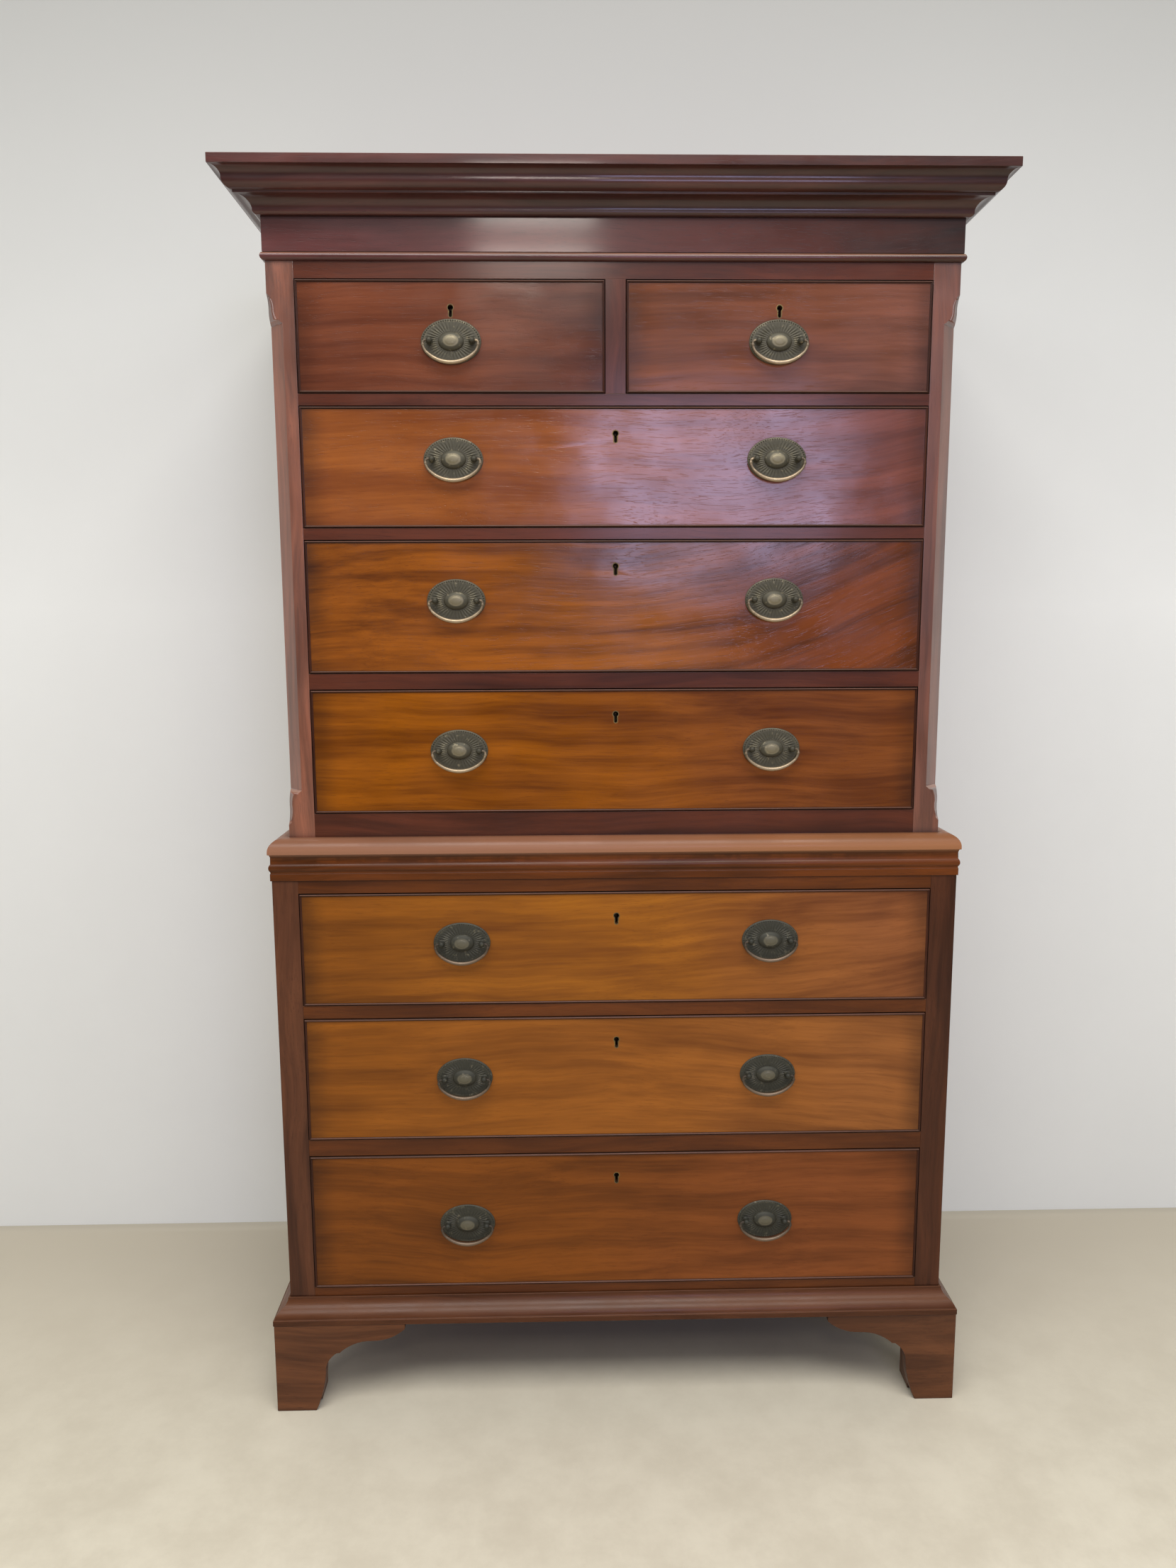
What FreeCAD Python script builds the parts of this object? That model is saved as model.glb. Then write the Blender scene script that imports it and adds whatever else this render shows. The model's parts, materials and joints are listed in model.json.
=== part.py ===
import FreeCAD, Part

import os
from collections import namedtuple
from math import acos, hypot, pi, sqrt, tan

from FreeCAD import Matrix, Vector

# A mahogany chest on chest of about 1790: a lower case of three long drawers on
# bracket feet carries an upper case of three long and two short drawers with
# canted corners and a moulded cornice.
#
# Millimetres. +X is to the right seen from the front, +Y to the back, +Z up.
# The origin is on the floor, in the middle of the width and of the depth.

# ---------------------------------------------------------------------------
# Driving dimensions
# ---------------------------------------------------------------------------

# The two cases, without mouldings
lower_width = 1060.0
lower_depth = 540.0
upper_setback = 22.0
side_setback = 24.5

# Heights, listed from the bottom up
foot_height = 150.0
lower_rail_heights = (52.0, 27.0, 21.0, 73.0)
lower_opening_heights = (226.0, 201.0, 180.0)
upper_rail_heights = (48.0, 24.0, 17.0, 17.0, 106.0)
upper_opening_heights = (191.0, 199.0, 176.0, 160.0)

# Carcase boards
board = 18.0
stile_width = 40.0
rail_depth = 50.0
muntin_width = 30.0
back_board = 10.0
back_rebate = 9.0
back_board_count = 5
back_lap = 10.0
back_lap_gap = 0.5

# Canted corners of the upper case and their lamb's tongue stops
cant_leg = 22.0
cant_foot_clear = 30.0
cant_foot_stop = 55.0
cant_head_clear = 126.0
cant_head_stop = 42.0

# Drawer runners, guides, dustboards and stops
runner_width = 45.0
kicker_height = 17.0
guide_height = 14.0
dustboard = 8.0
dustboard_groove = 6.0
stop_length = 40.0
stop_depth = 24.0
stop_height = 6.0
stop_inset = 150.0

# Drawer clearances in the case
side_gap = 1.2
top_gap = 1.5
front_lift = 1.0
running_gap = 0.3
rear_gap = 20.0

# Drawer boxes
front_thickness = 22.0
front_lap = 6.0
drawer_side = 10.0
drawer_back = 9.0
drawer_bottom = 8.0
bottom_rise = 12.0
bottom_groove = 5.0
bottom_muntin = 60.0
bottom_muntin_height = 16.0
side_drop = 8.0
back_drop = 6.0

# Dovetails
tail_pitch = 34.0
pin_width = 9.0
half_pin = 7.0
tail_slope = 1.0 / 6.0

# Cock beads round the drawer fronts
bead_thickness = 3.0
bead_proud = 2.5

# Locks and keyholes
key_drop = 38.0
key_radius = 4.0
key_slot_width = 4.4
key_slot_drop = 11.0
lining = 1.3
lining_depth = 5.0
key_pin_radius = 1.4
lock_width = 64.0
lock_height = 56.0
lock_thickness = 10.0
lock_back_wall = 2.0
bolt_width = 26.0
bolt_thickness = 6.0
bolt_below_key = 2.0
bolt_notch = 8.0
bolt_travel = 9.0
bolt_gap = 0.3
mortise_gap = 0.8

# Oval handles: how far each handle hangs below the top of its opening,
# listed from the bottom up
lower_handle_drops = (118.0, 99.0, 80.0)
upper_handle_drops = (94.0, 90.0, 77.0, 87.0)
plate_half_width = 44.0
plate_half_height = 32.0
plate_thickness = 1.0
plate_border = 6.5
plate_field_height = 2.0
boss_radius = 19.0
boss_step = 0.8
boss_height = 8.8
post_half_spacing = 31.0
post_shank_radius = 2.5
post_hole_gap = 0.1
post_collar_radius = 5.0
post_neck_radius = 2.8
post_ball_radius = 4.6
pivot_proud = 10.5
nut_size = 9.0
nut_height = 3.5
shank_past_nut = 1.5
bail_radius = 2.4
bail_pin_radius = 1.6
bail_pin_gap = 0.06
bail_pin_depth = 6.0
bail_ball_gap = 0.6
bail_bend = 4.0
bail_drop = 31.0
bail_shoulder = 18.0

# Frieze and its bead
bead_above_rail = 24.0
frieze_bead = 12.0
frieze_bead_proud = 6.0
frieze_height = 48.0
frieze_proud = 3.0

# Cornice members from the bottom up: rise and run of each
cornice_ovolo_rise = 4.0
cornice_ovolo_run = 9.0
cornice_bed_fillet = 3.0
cornice_cavetto_rise = 14.0
cornice_cavetto_run = 18.0
cornice_step = 3.0
cornice_cyma_rise = 26.0
cornice_cyma_run = 24.0
cornice_lip = 3.0
cornice_top_fillet = 13.0
cornice_top_width = 16.0
cornice_block_length = 70.0
cornice_block_foot = 30.0
cornice_block_height = 31.0
cornice_front_blocks = 5
cornice_side_blocks = 2

# Waist moulding, measured from the top of the lower case
waist_above = 11.5
waist_proud = 4.5
waist_round_rise = 20.0
waist_round_run = 18.0
waist_fillet = 3.0
waist_hollow_depth = 2.0
waist_hollow_rise = 15.0
waist_bead = 12.0
waist_bead_proud = 3.6
waist_quirk = 3.0
waist_quirk_proud = 1.2
waist_flat = 11.0
waist_flat_proud = 2.0

# Base moulding, which rises from the top of the feet
base_proud = 24.0
base_fillet = 9.0
base_step = 2.0
base_cyma_rise = 26.0
base_cyma_run = 19.0
base_top_fillet = 2.5

# Bracket feet: the outline of one bracket, from its outer corner
foot_proud = 23.0
foot_thickness = 20.0
foot_toe = 63.0
foot_leg_rise = 77.0
foot_leg_spread = 18.0
foot_hollow_rise = 24.0
foot_hollow_run = 18.0
foot_cusp = 5.0
foot_ogee_rise = 40.0
foot_ogee_run = 106.0
foot_block = 45.0
foot_block_clear = 3.0
rear_bracket_thickness = 18.0
rear_bracket_length = 110.0
rear_bracket_tip = 30.0

# ---------------------------------------------------------------------------
# Derived places
# ---------------------------------------------------------------------------

cornice_overhang = (frieze_proud + cornice_ovolo_run + cornice_cavetto_run
                    + cornice_step + cornice_cyma_run + cornice_lip)
cornice_height = (cornice_ovolo_rise + cornice_bed_fillet + cornice_cavetto_rise
                  + cornice_step + cornice_cyma_rise + cornice_top_fillet)
overall_depth = lower_depth - upper_setback + cornice_overhang
back_y = overall_depth / 2
lower_front = back_y - lower_depth
upper_front = lower_front + upper_setback
lower_half = lower_width / 2
upper_half = lower_half - side_setback


def stack(base, rails, openings):
    """Return the rails and the openings between them as (bottom, top) pairs."""
    rail_spans = []
    opening_spans = []
    level = base
    for index, rail in enumerate(rails):
        rail_spans.append((level, level + rail))
        level += rail
        if index < len(openings):
            opening_spans.append((level, level + openings[index]))
            level += openings[index]
    return rail_spans, opening_spans, level


lower_rails, lower_openings, lower_top = stack(foot_height, lower_rail_heights, lower_opening_heights)
upper_rails, upper_openings, upper_top = stack(lower_top, upper_rail_heights, upper_opening_heights)
frieze_bead_bottom = upper_rails[-1][0] + bead_above_rail
frieze_bottom = frieze_bead_bottom + frieze_bead
cornice_bottom = frieze_bottom + frieze_height
cornice_top = cornice_bottom + cornice_height

# ---------------------------------------------------------------------------
# Shapes
# ---------------------------------------------------------------------------


def bow_of(angle):
    """Height of an arc's middle over its chord, as a share of the chord."""
    return tan(angle / 4) / 2


quarter_round = bow_of(pi / 2)
shallow = bow_of(pi / 4)
gentle = bow_of(pi / 8)


def box(x0, x1, y0, y1, z0, z1):
    return Part.makeBox(x1 - x0, y1 - y0, z1 - z0, Vector(x0, y0, z0))


def mirrored(shape):
    return shape.mirror(Vector(0, 0, 0), Vector(1, 0, 0))


def both_sides(shape):
    return [shape, mirrored(shape)]


class Outline:
    """A closed flat outline of lines and arcs, drawn in its own (u, v)."""

    def __init__(self, u, v):
        self.start = (u, v)
        self.here = (u, v)
        self.steps = []

    def line(self, u, v):
        if (u, v) != self.here:
            self.steps.append((self.here, None, (u, v)))
            self.here = (u, v)

    def arc(self, u, v, bow):
        """Arc to (u, v). A positive bow lifts its middle to the left of the way."""
        across_u = u - self.here[0]
        across_v = v - self.here[1]
        middle_u = self.here[0] + across_u / 2 - across_v * bow
        middle_v = self.here[1] + across_v / 2 + across_u * bow
        self.steps.append((self.here, (middle_u, middle_v), (u, v)))
        self.here = (u, v)

    def ogee(self, u, v, bow):
        """Two arcs to (u, v) that bow opposite ways and meet half way."""
        half_u = (self.here[0] + u) / 2
        half_v = (self.here[1] + v) / 2
        self.arc(half_u, half_v, bow)
        self.arc(u, v, -bow)

    def face(self, place):
        edges = []
        closing = [(self.here, None, self.start)] if self.here != self.start else []
        for start, middle, end in self.steps + closing:
            if middle is None:
                edges.append(Part.LineSegment(place(*start), place(*end)).toShape())
            else:
                edges.append(Part.Arc(place(*start), place(*middle), place(*end)).toShape())
        return Part.Face(Part.Wire(edges))


def prism(outline, place, sweep):
    return outline.face(place).extrude(sweep)


def plan_prism(corners, z0, z1):
    outline = Outline(*corners[0])
    for corner in corners[1:]:
        outline.line(*corner)
    return prism(outline, lambda x, y: Vector(x, y, z0), Vector(0, 0, z1 - z0))


def mitred_run(profile, half, front, low, high, reach):
    """Run a moulding round the front and both sides of a case.

    The profile is drawn as (distance out from the case, height). Its front and
    side sticks meet in mitres, and the sides end flush with the back.
    """
    front_zone = plan_prism([(-half - reach, front - reach), (half + reach, front - reach),
                             (half - reach, front + reach), (-half + reach, front + reach)], low, high)
    side_zone = plan_prism([(half + reach, front - reach), (half + reach, back_y),
                            (half - reach, back_y), (half - reach, front + reach)], low, high)
    front_stick = prism(profile, lambda d, z: Vector(-half - reach, front - d, z),
                        Vector(2 * (half + reach), 0, 0))
    side_stick = prism(profile, lambda d, z: Vector(half + d, front - reach, z),
                       Vector(0, back_y - front + reach, 0))
    side = side_stick.common(side_zone)
    return [front_stick.common(front_zone)] + both_sides(side)


def write(node, solids):
    """Write the separate solids of one node to its STEP file."""
    pieces = []
    for shape in solids:
        pieces.extend(shape.Solids)
    shape = pieces[0] if len(pieces) == 1 else Part.makeCompound(pieces)
    shape.exportStep("parts/" + node + ".step")
    print(node, len(pieces), "solids", round(sum(piece.Volume for piece in pieces) / 1000.0), "cm3")


# ---------------------------------------------------------------------------
# Mouldings
# ---------------------------------------------------------------------------


def cornice_back_slope(height):
    """Distance out from the case of the cornice's sloping back, at a height."""
    top_back = cornice_overhang - cornice_top_width
    return top_back * (height - upper_top) / (cornice_top - upper_top)


def make_cornice():
    out = frieze_proud
    level = cornice_bottom
    profile = Outline(0, level)
    profile.line(out, level)
    out += cornice_ovolo_run
    level += cornice_ovolo_rise
    profile.arc(out, level, -quarter_round)
    level += cornice_bed_fillet
    profile.line(out, level)
    out += cornice_cavetto_run
    level += cornice_cavetto_rise
    profile.arc(out, level, quarter_round)
    out += cornice_step
    profile.line(out, level)
    level += cornice_step
    profile.line(out, level)
    out += cornice_cyma_run
    level += cornice_cyma_rise
    profile.ogee(out, level, -quarter_round)
    out += cornice_lip
    profile.line(out, level)
    profile.line(out, cornice_top)
    profile.line(out - cornice_top_width, cornice_top)
    profile.line(0, upper_top)
    reach = cornice_overhang + board
    sticks = mitred_run(profile, upper_half, upper_front, cornice_bottom, cornice_top, reach)
    write("cornice_moulding", sticks)


def cornice_blocks():
    """Glue blocks that stand on the top board and back the sloping cornice."""
    crown = upper_top + cornice_block_height
    profile = Outline(-cornice_block_foot, upper_top)
    profile.line(0, upper_top)
    profile.line(cornice_back_slope(crown), crown)
    profile.line(cornice_back_slope(crown) - cornice_top_width, crown)
    half_length = cornice_block_length / 2
    blocks = []
    pitch = 2 * upper_half / cornice_front_blocks
    for index in range(cornice_front_blocks):
        middle = (index - (cornice_front_blocks - 1) / 2) * pitch
        blocks.append(prism(profile, lambda d, z: Vector(middle - half_length, upper_front - d, z),
                            Vector(cornice_block_length, 0, 0)))
    pitch = (back_y - upper_front) / (cornice_side_blocks + 1)
    for index in range(cornice_side_blocks):
        middle = upper_front + (index + 1) * pitch
        block = prism(profile, lambda d, z: Vector(upper_half + d, middle - half_length, z),
                      Vector(0, cornice_block_length, 0))
        blocks.extend(both_sides(block))
    return blocks


def make_frieze():
    frieze = Outline(0, frieze_bottom)
    frieze.line(frieze_proud, frieze_bottom)
    frieze.line(frieze_proud, cornice_bottom)
    frieze.line(0, cornice_bottom)
    radius = frieze_bead / 2
    flat = frieze_bead_proud - radius
    middle = frieze_bead_bottom + radius
    bead = Outline(0, frieze_bead_bottom)
    bead.line(flat, frieze_bead_bottom)
    bead.arc(frieze_bead_proud, middle, -quarter_round)
    bead.arc(flat, frieze_bottom, -quarter_round)
    bead.line(0, frieze_bottom)
    reach = frieze_bead_proud + board
    solids = mitred_run(frieze, upper_half, upper_front, frieze_bottom, cornice_bottom, reach)
    solids += mitred_run(bead, upper_half, upper_front, frieze_bead_bottom, frieze_bottom, reach)
    write("frieze_and_bead", solids)


def waist_profile(setback):
    """The rounded nosing and its bed mouldings, back to the upper case."""
    top = lower_top + waist_above
    level = top - waist_round_rise
    profile = Outline(-setback, lower_top)
    profile.line(0, lower_top)
    low = level - waist_fillet - waist_hollow_rise - waist_bead - waist_quirk - waist_flat
    profile.line(0, low)
    profile.line(waist_flat_proud, low)
    low += waist_flat
    profile.line(waist_flat_proud, low)
    profile.line(waist_quirk_proud, low)
    low += waist_quirk
    profile.line(waist_quirk_proud, low)
    low += waist_bead
    profile.arc(waist_quirk_proud, low, (waist_quirk_proud - waist_bead_proud) / waist_bead)
    low += waist_hollow_rise
    profile.arc(waist_proud - waist_hollow_depth, low, shallow)
    profile.line(waist_proud, low)
    profile.line(waist_proud, level)
    profile.arc(waist_proud - waist_round_run, top, -quarter_round)
    profile.line(-setback, top)
    return profile


def make_waist_moulding():
    low = lower_top + waist_above - waist_round_rise - waist_fillet
    low -= waist_hollow_rise + waist_bead + waist_quirk + waist_flat
    high = lower_top + waist_above
    reach = waist_proud + stile_width
    front = mitred_run(waist_profile(upper_setback), lower_half, lower_front, low, high, reach)[0]
    sides = mitred_run(waist_profile(side_setback), lower_half, lower_front, low, high, reach)[1:]
    write("waist_moulding", [front] + sides)


def make_base_moulding():
    profile = Outline(0, foot_height)
    profile.line(base_proud, foot_height)
    level = foot_height + base_fillet
    profile.line(base_proud, level)
    out = base_proud - base_step
    profile.line(out, level)
    out -= base_cyma_run
    level += base_cyma_rise
    profile.ogee(out, level, -shallow)
    level += base_top_fillet
    profile.line(out, level)
    profile.line(0, level)
    reach = base_proud + board
    write("base_moulding", mitred_run(profile, lower_half, lower_front, foot_height, level, reach))


# ---------------------------------------------------------------------------
# Feet
# ---------------------------------------------------------------------------


def bracket_outline():
    """One bracket, drawn as (distance in from the outer corner, height)."""
    outline = Outline(0, 0)
    outline.line(foot_toe, 0)
    along = foot_toe + foot_leg_spread
    level = foot_leg_rise
    outline.arc(along, level, -gentle)
    along += foot_hollow_run
    level += foot_hollow_rise
    outline.arc(along, level, shallow)
    along += foot_cusp
    outline.line(along, level)
    along += foot_ogee_run
    level += foot_ogee_rise
    outline.ogee(along, level, shallow)
    outline.line(along, foot_height)
    outline.line(0, foot_height)
    return outline


def make_feet():
    outline = bracket_outline()
    corner_x = lower_half + foot_proud
    corner_y = lower_front - foot_proud
    reach = foot_proud
    front_zone = plan_prism([(0, corner_y), (corner_x, corner_y), (corner_x - reach, corner_y + reach),
                             (0, corner_y + reach)], 0, foot_height)
    side_zone = plan_prism([(corner_x, corner_y), (corner_x, back_y), (corner_x - reach, back_y),
                            (corner_x - reach, corner_y + reach)], 0, foot_height)
    thick = Vector(0, foot_thickness, 0)
    front = prism(outline, lambda s, z: Vector(corner_x - s, corner_y, z), thick).common(front_zone)
    across = Vector(-foot_thickness, 0, 0)
    side = prism(outline, lambda s, z: Vector(corner_x, corner_y + s, z), across).common(side_zone)
    rear_side = prism(outline, lambda s, z: Vector(corner_x, back_y - s, z), across)
    inner = lower_half
    block_low = foot_block_clear
    bracket_x = inner - foot_block
    front_block = box(bracket_x, inner, lower_front, lower_front + foot_block, block_low, foot_height)
    rear_block = box(bracket_x, inner, back_y - foot_block, back_y, block_low, foot_height)
    rear = Outline(bracket_x, block_low)
    rear.line(bracket_x, foot_height)
    rear.line(bracket_x - rear_bracket_length, foot_height)
    rear.line(bracket_x - rear_bracket_length, foot_height - rear_bracket_tip)
    rear.arc(bracket_x - rear_bracket_tip, block_low, quarter_round)
    rear_bracket = prism(rear, lambda x, z: Vector(x, back_y - rear_bracket_thickness, z),
                         Vector(0, rear_bracket_thickness, 0))
    solids = []
    for shape in (front, side, rear_side, front_block, rear_block, rear_bracket):
        solids.extend(both_sides(shape))
    write("bracket_feet", solids)


# ---------------------------------------------------------------------------
# Carcases
# ---------------------------------------------------------------------------


def cant_tool(half, front):
    """The waste of one canted corner, with a lamb's tongue at each end.

    It is drawn as (depth in along the diagonal, height) and swept across it.
    """
    depth = cant_leg / hypot(1, 1)
    outside = -cant_leg
    low = lower_top + cant_foot_clear
    high = upper_top - cant_head_clear
    profile = Outline(outside, low)
    profile.line(0, low)
    profile.ogee(depth, low + cant_foot_stop, -shallow)
    profile.line(depth, high - cant_head_stop)
    profile.ogee(0, high, shallow)
    profile.line(outside, high)
    diagonal = 1 / hypot(1, 1)
    width = 2 * cant_leg

    def place(depth_in, z):
        x = half - depth_in * diagonal + width * diagonal / 2
        y = front + depth_in * diagonal + width * diagonal / 2
        return Vector(x, y, z)

    return prism(profile, place, Vector(-width * diagonal, -width * diagonal, 0))


def corner_post(half, front, low, high):
    return box(half - stile_width, half, front, front + rail_depth, low, high)


def side_board(half, front, low, high):
    whole = box(half - board, half, front + rail_depth, back_y, low, high)
    rebate = box(half - board, half - board + back_rebate, back_y - back_board, back_y, low, high)
    return whole.cut(rebate)


def cross_board(half, front, low):
    inner = half - board
    return box(-inner, inner, front + rail_depth, back_y - back_board, low, low + board)


def back_boards(half, low, high):
    """Upright boards with lapped edges, let into the rebates of the sides."""
    edge = half - board + back_rebate
    pitch = 2 * edge / back_board_count
    inner_y = back_y - back_board
    middle_y = back_y - back_board / 2
    boards = []
    for index in range(back_board_count):
        left = -edge + index * pitch
        right = left + pitch
        last = index == back_board_count - 1
        outer_right = right if last else right - back_lap_gap
        inner_left = left if index == 0 else left + back_lap
        inner_right = right if last else right + back_lap - back_lap_gap
        outer = box(left, outer_right, middle_y, back_y, low, high)
        inner = box(inner_left, inner_right, inner_y, middle_y, low, high)
        boards.append(outer.fuse(inner).removeSplitter())
    return boards


def make_upper_posts():
    post = corner_post(upper_half, upper_front, lower_top, upper_top)
    write("canted_corner_posts", both_sides(post.cut(cant_tool(upper_half, upper_front))))


def make_upper_boards():
    solids = both_sides(side_board(upper_half, upper_front, lower_top, upper_top))
    solids.append(cross_board(upper_half, upper_front, lower_top))
    solids.append(cross_board(upper_half, upper_front, upper_top - board))
    solids.extend(cornice_blocks())
    write("upper_case_boards", solids)


def make_lower_boards():
    solids = both_sides(corner_post(lower_half, lower_front, foot_height, lower_top))
    solids.extend(both_sides(side_board(lower_half, lower_front, foot_height, lower_top)))
    solids.append(cross_board(lower_half, lower_front, foot_height))
    solids.append(cross_board(lower_half, lower_front, lower_top - board))
    write("lower_case_boards", solids)


# ---------------------------------------------------------------------------
# Drawers: where they go
# ---------------------------------------------------------------------------

Drawer = namedtuple("Drawer", "name left right low high front handles handle_level")

short_drawer_middle = (upper_half - stile_width + muntin_width / 2) / 2


def lay_out_drawers():
    """Return every drawer's opening, and where its handles hang."""
    drawers = []
    opening = lower_half - stile_width
    pair = (-short_drawer_middle, short_drawer_middle)
    for index, (low, high) in enumerate(lower_openings):
        name = "lower_drawer_" + str(len(lower_openings) - index)
        level = high - lower_handle_drops[index]
        drawers.append(Drawer(name, -opening, opening, low, high, lower_front, pair, level))
    opening = upper_half - stile_width
    for index, (low, high) in enumerate(upper_openings[:-1]):
        name = "upper_drawer_" + str(len(upper_openings) - 1 - index)
        level = high - upper_handle_drops[index]
        drawers.append(Drawer(name, -opening, opening, low, high, upper_front, pair, level))
    low, high = upper_openings[-1]
    level = high - upper_handle_drops[-1]
    inner = muntin_width / 2
    drawers.append(Drawer("short_drawer_left", -opening, -inner, low, high, upper_front, pair[:1], level))
    drawers.append(Drawer("short_drawer_right", inner, opening, low, high, upper_front, pair[1:], level))
    return drawers


def middle_of(drawer):
    return (drawer.left + drawer.right) / 2


def is_long(drawer):
    return len(drawer.handles) > 1


# ---------------------------------------------------------------------------
# Rails, runners and stops
# ---------------------------------------------------------------------------


def bolt_mortise(drawer):
    """The slot in the rail above a drawer that its lock bolt shoots into."""
    middle = middle_of(drawer)
    half = bolt_width / 2 + mortise_gap
    back = drawer.front + front_thickness - lock_back_wall
    return box(middle - half, middle + half, back - bolt_thickness - mortise_gap, back + mortise_gap,
               drawer.high, drawer.high + bolt_travel - top_gap + mortise_gap)


def make_rails(node, half, front, spans, drawers):
    opening = half - stile_width
    rails = []
    for low, high in spans:
        rail = box(-opening, opening, front, front + rail_depth, low, high)
        for drawer in drawers:
            if drawer.high == low:
                rail = rail.cut(bolt_mortise(drawer))
        for board_low in groove_levels(low, high, spans):
            groove_back = front + rail_depth
            rail = rail.cut(box(-opening, opening, groove_back - dustboard_groove, groove_back,
                                board_low, board_low + dustboard))
        rails.append(rail)
    short = [drawer for drawer in drawers if not is_long(drawer)]
    if short:
        half_muntin = muntin_width / 2
        rails.append(box(-half_muntin, half_muntin, front, front + rail_depth, short[0].low, short[0].high))
    write(node, rails)


def groove_levels(low, high, spans):
    """Only the rails between two drawers carry a dustboard."""
    between = spans[1:-1]
    return [(low + high - dustboard) / 2] if (low, high) in between else []


def make_dust_frame(node, half, front, spans, drawers, split_opening):
    """Runners, guides, dustboards, kickers and stops of one case.

    The split opening holds two drawers side by side, so a strip down the middle
    of the case carries and keeps down their inner sides.
    """
    outer = half - board
    opening = half - stile_width
    inner = outer - runner_width
    near = front + rail_depth
    far = back_y - back_board
    solids = []
    for index, (low, high) in enumerate(spans):
        top_rail = index == len(spans) - 1
        bottom_rail = index == 0
        runner_low = low + board if bottom_rail else low
        runner_high = low + kicker_height if top_rail else high
        centre_strip = high == split_opening[0] or low == split_opening[1]
        runner = box(inner, outer, near, far, runner_low, runner_high)
        strip = box(-runner_width, runner_width, near, far, runner_low, runner_high)
        for board_low in groove_levels(low, high, spans):
            tongue = dustboard_groove
            reach = inner + tongue
            split = runner_width - tongue
            whole = box(-reach, reach, near - tongue, far, board_low, board_low + dustboard)
            runner = runner.cut(whole)
            if centre_strip:
                strip = strip.cut(whole.cut(box(-split, split, near - tongue, far, board_low, high)))
                half_board = box(split, reach, near - tongue, far, board_low, board_low + dustboard)
                solids.extend(both_sides(half_board))
            else:
                solids.append(whole)
        solids.extend(both_sides(runner))
        if centre_strip:
            solids.append(strip)
        if not top_rail:
            solids.extend(both_sides(box(opening, outer, near, far, high, high + guide_height)))
            if centre_strip:
                half_muntin = muntin_width / 2
                solids.append(box(-half_muntin, half_muntin, near, far, high, high + guide_height))
    for drawer in drawers:
        stop_near = drawer.front + front_thickness + running_gap
        for x in stop_places(drawer):
            solids.append(box(x - stop_length / 2, x + stop_length / 2, stop_near, stop_near + stop_depth,
                              drawer.low, drawer.low + stop_height))
    write(node, solids)


def stop_places(drawer):
    inset = stop_inset if is_long(drawer) else stop_inset / 2
    return (drawer.left + inset, drawer.right - inset)


# ---------------------------------------------------------------------------
# Drawer fronts and boxes
# ---------------------------------------------------------------------------


def front_span(drawer):
    """The face of the drawer front, cock beads included."""
    return (drawer.left + side_gap, drawer.right - side_gap,
            drawer.low + front_lift, drawer.high - top_gap)


def tails(x0, x1, root, tip, low, high):
    """Dovetails in a drawer side, from their root line to their wide tips."""
    room = high - low - 2 * half_pin + pin_width
    count = max(2, round(room / tail_pitch))
    pitch = room / count
    flare = abs(tip - root) * tail_slope
    solids = []
    for index in range(count):
        bottom = low + half_pin + index * pitch
        top = bottom + pitch - pin_width
        tail = Outline(root, bottom + flare)
        tail.line(tip, bottom)
        tail.line(tip, top)
        tail.line(root, top - flare)
        solids.append(prism(tail, lambda y, z: Vector(x0, y, z), Vector(x1 - x0, 0, 0)))
    return Part.makeCompound(solids)


def keyhole(x, z, front, grow, depth):
    """A round hole over a slot, cut back from the face of a drawer front."""
    back = Vector(0, 1, 0)
    head = Part.makeCylinder(key_radius + grow, depth, Vector(x, front, z), back)
    half = key_slot_width / 2 + grow
    toe_level = z - key_slot_drop
    toe = Part.makeCylinder(half, depth, Vector(x, front, toe_level), back)
    slot = box(x - half, x + half, front, front + depth, toe_level, z)
    return head.fuse([toe, slot]).removeSplitter()


def keyhole_centre(drawer):
    return middle_of(drawer), drawer.high - top_gap - key_drop


def face_zone(corners, near, far):
    """A block with the given outline, seen from the front, between two depths."""
    outline = Outline(*corners[0])
    for corner in corners[1:]:
        outline.line(*corner)
    return prism(outline, lambda x, z: Vector(x, near, z), Vector(0, far - near, 0))


def cock_beads(drawer):
    """Four mitred beads let into the edges of the front, with rounded noses."""
    left, right, low, high = front_span(drawer)
    near = drawer.front - bead_proud
    far = drawer.front + front_lap
    nose = bead_thickness / 2
    section = Outline(0, far)
    section.line(0, near + nose)
    section.arc(nose, near, quarter_round)
    section.arc(bead_thickness, near + nose, quarter_round)
    section.line(bead_thickness, far)
    across = Vector(right - left, 0, 0)
    up = Vector(0, 0, high - low)
    mitre = 2 * bead_thickness
    outer = [(left, low), (right, low), (right, high), (left, high)]
    inner = [(left + mitre, low + mitre), (right - mitre, low + mitre),
             (right - mitre, high - mitre), (left + mitre, high - mitre)]
    sticks = [
        prism(section, lambda t, y: Vector(left, y, low + t), across),
        prism(section, lambda t, y: Vector(right - t, y, low), up),
        prism(section, lambda t, y: Vector(left, y, high - t), across),
        prism(section, lambda t, y: Vector(left + t, y, low), up),
    ]
    beads = []
    for index, stick in enumerate(sticks):
        after = (index + 1) % len(sticks)
        corners = [outer[index], outer[after], inner[after], inner[index]]
        beads.append(stick.common(face_zone(corners, near, far)))
    return beads


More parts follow.
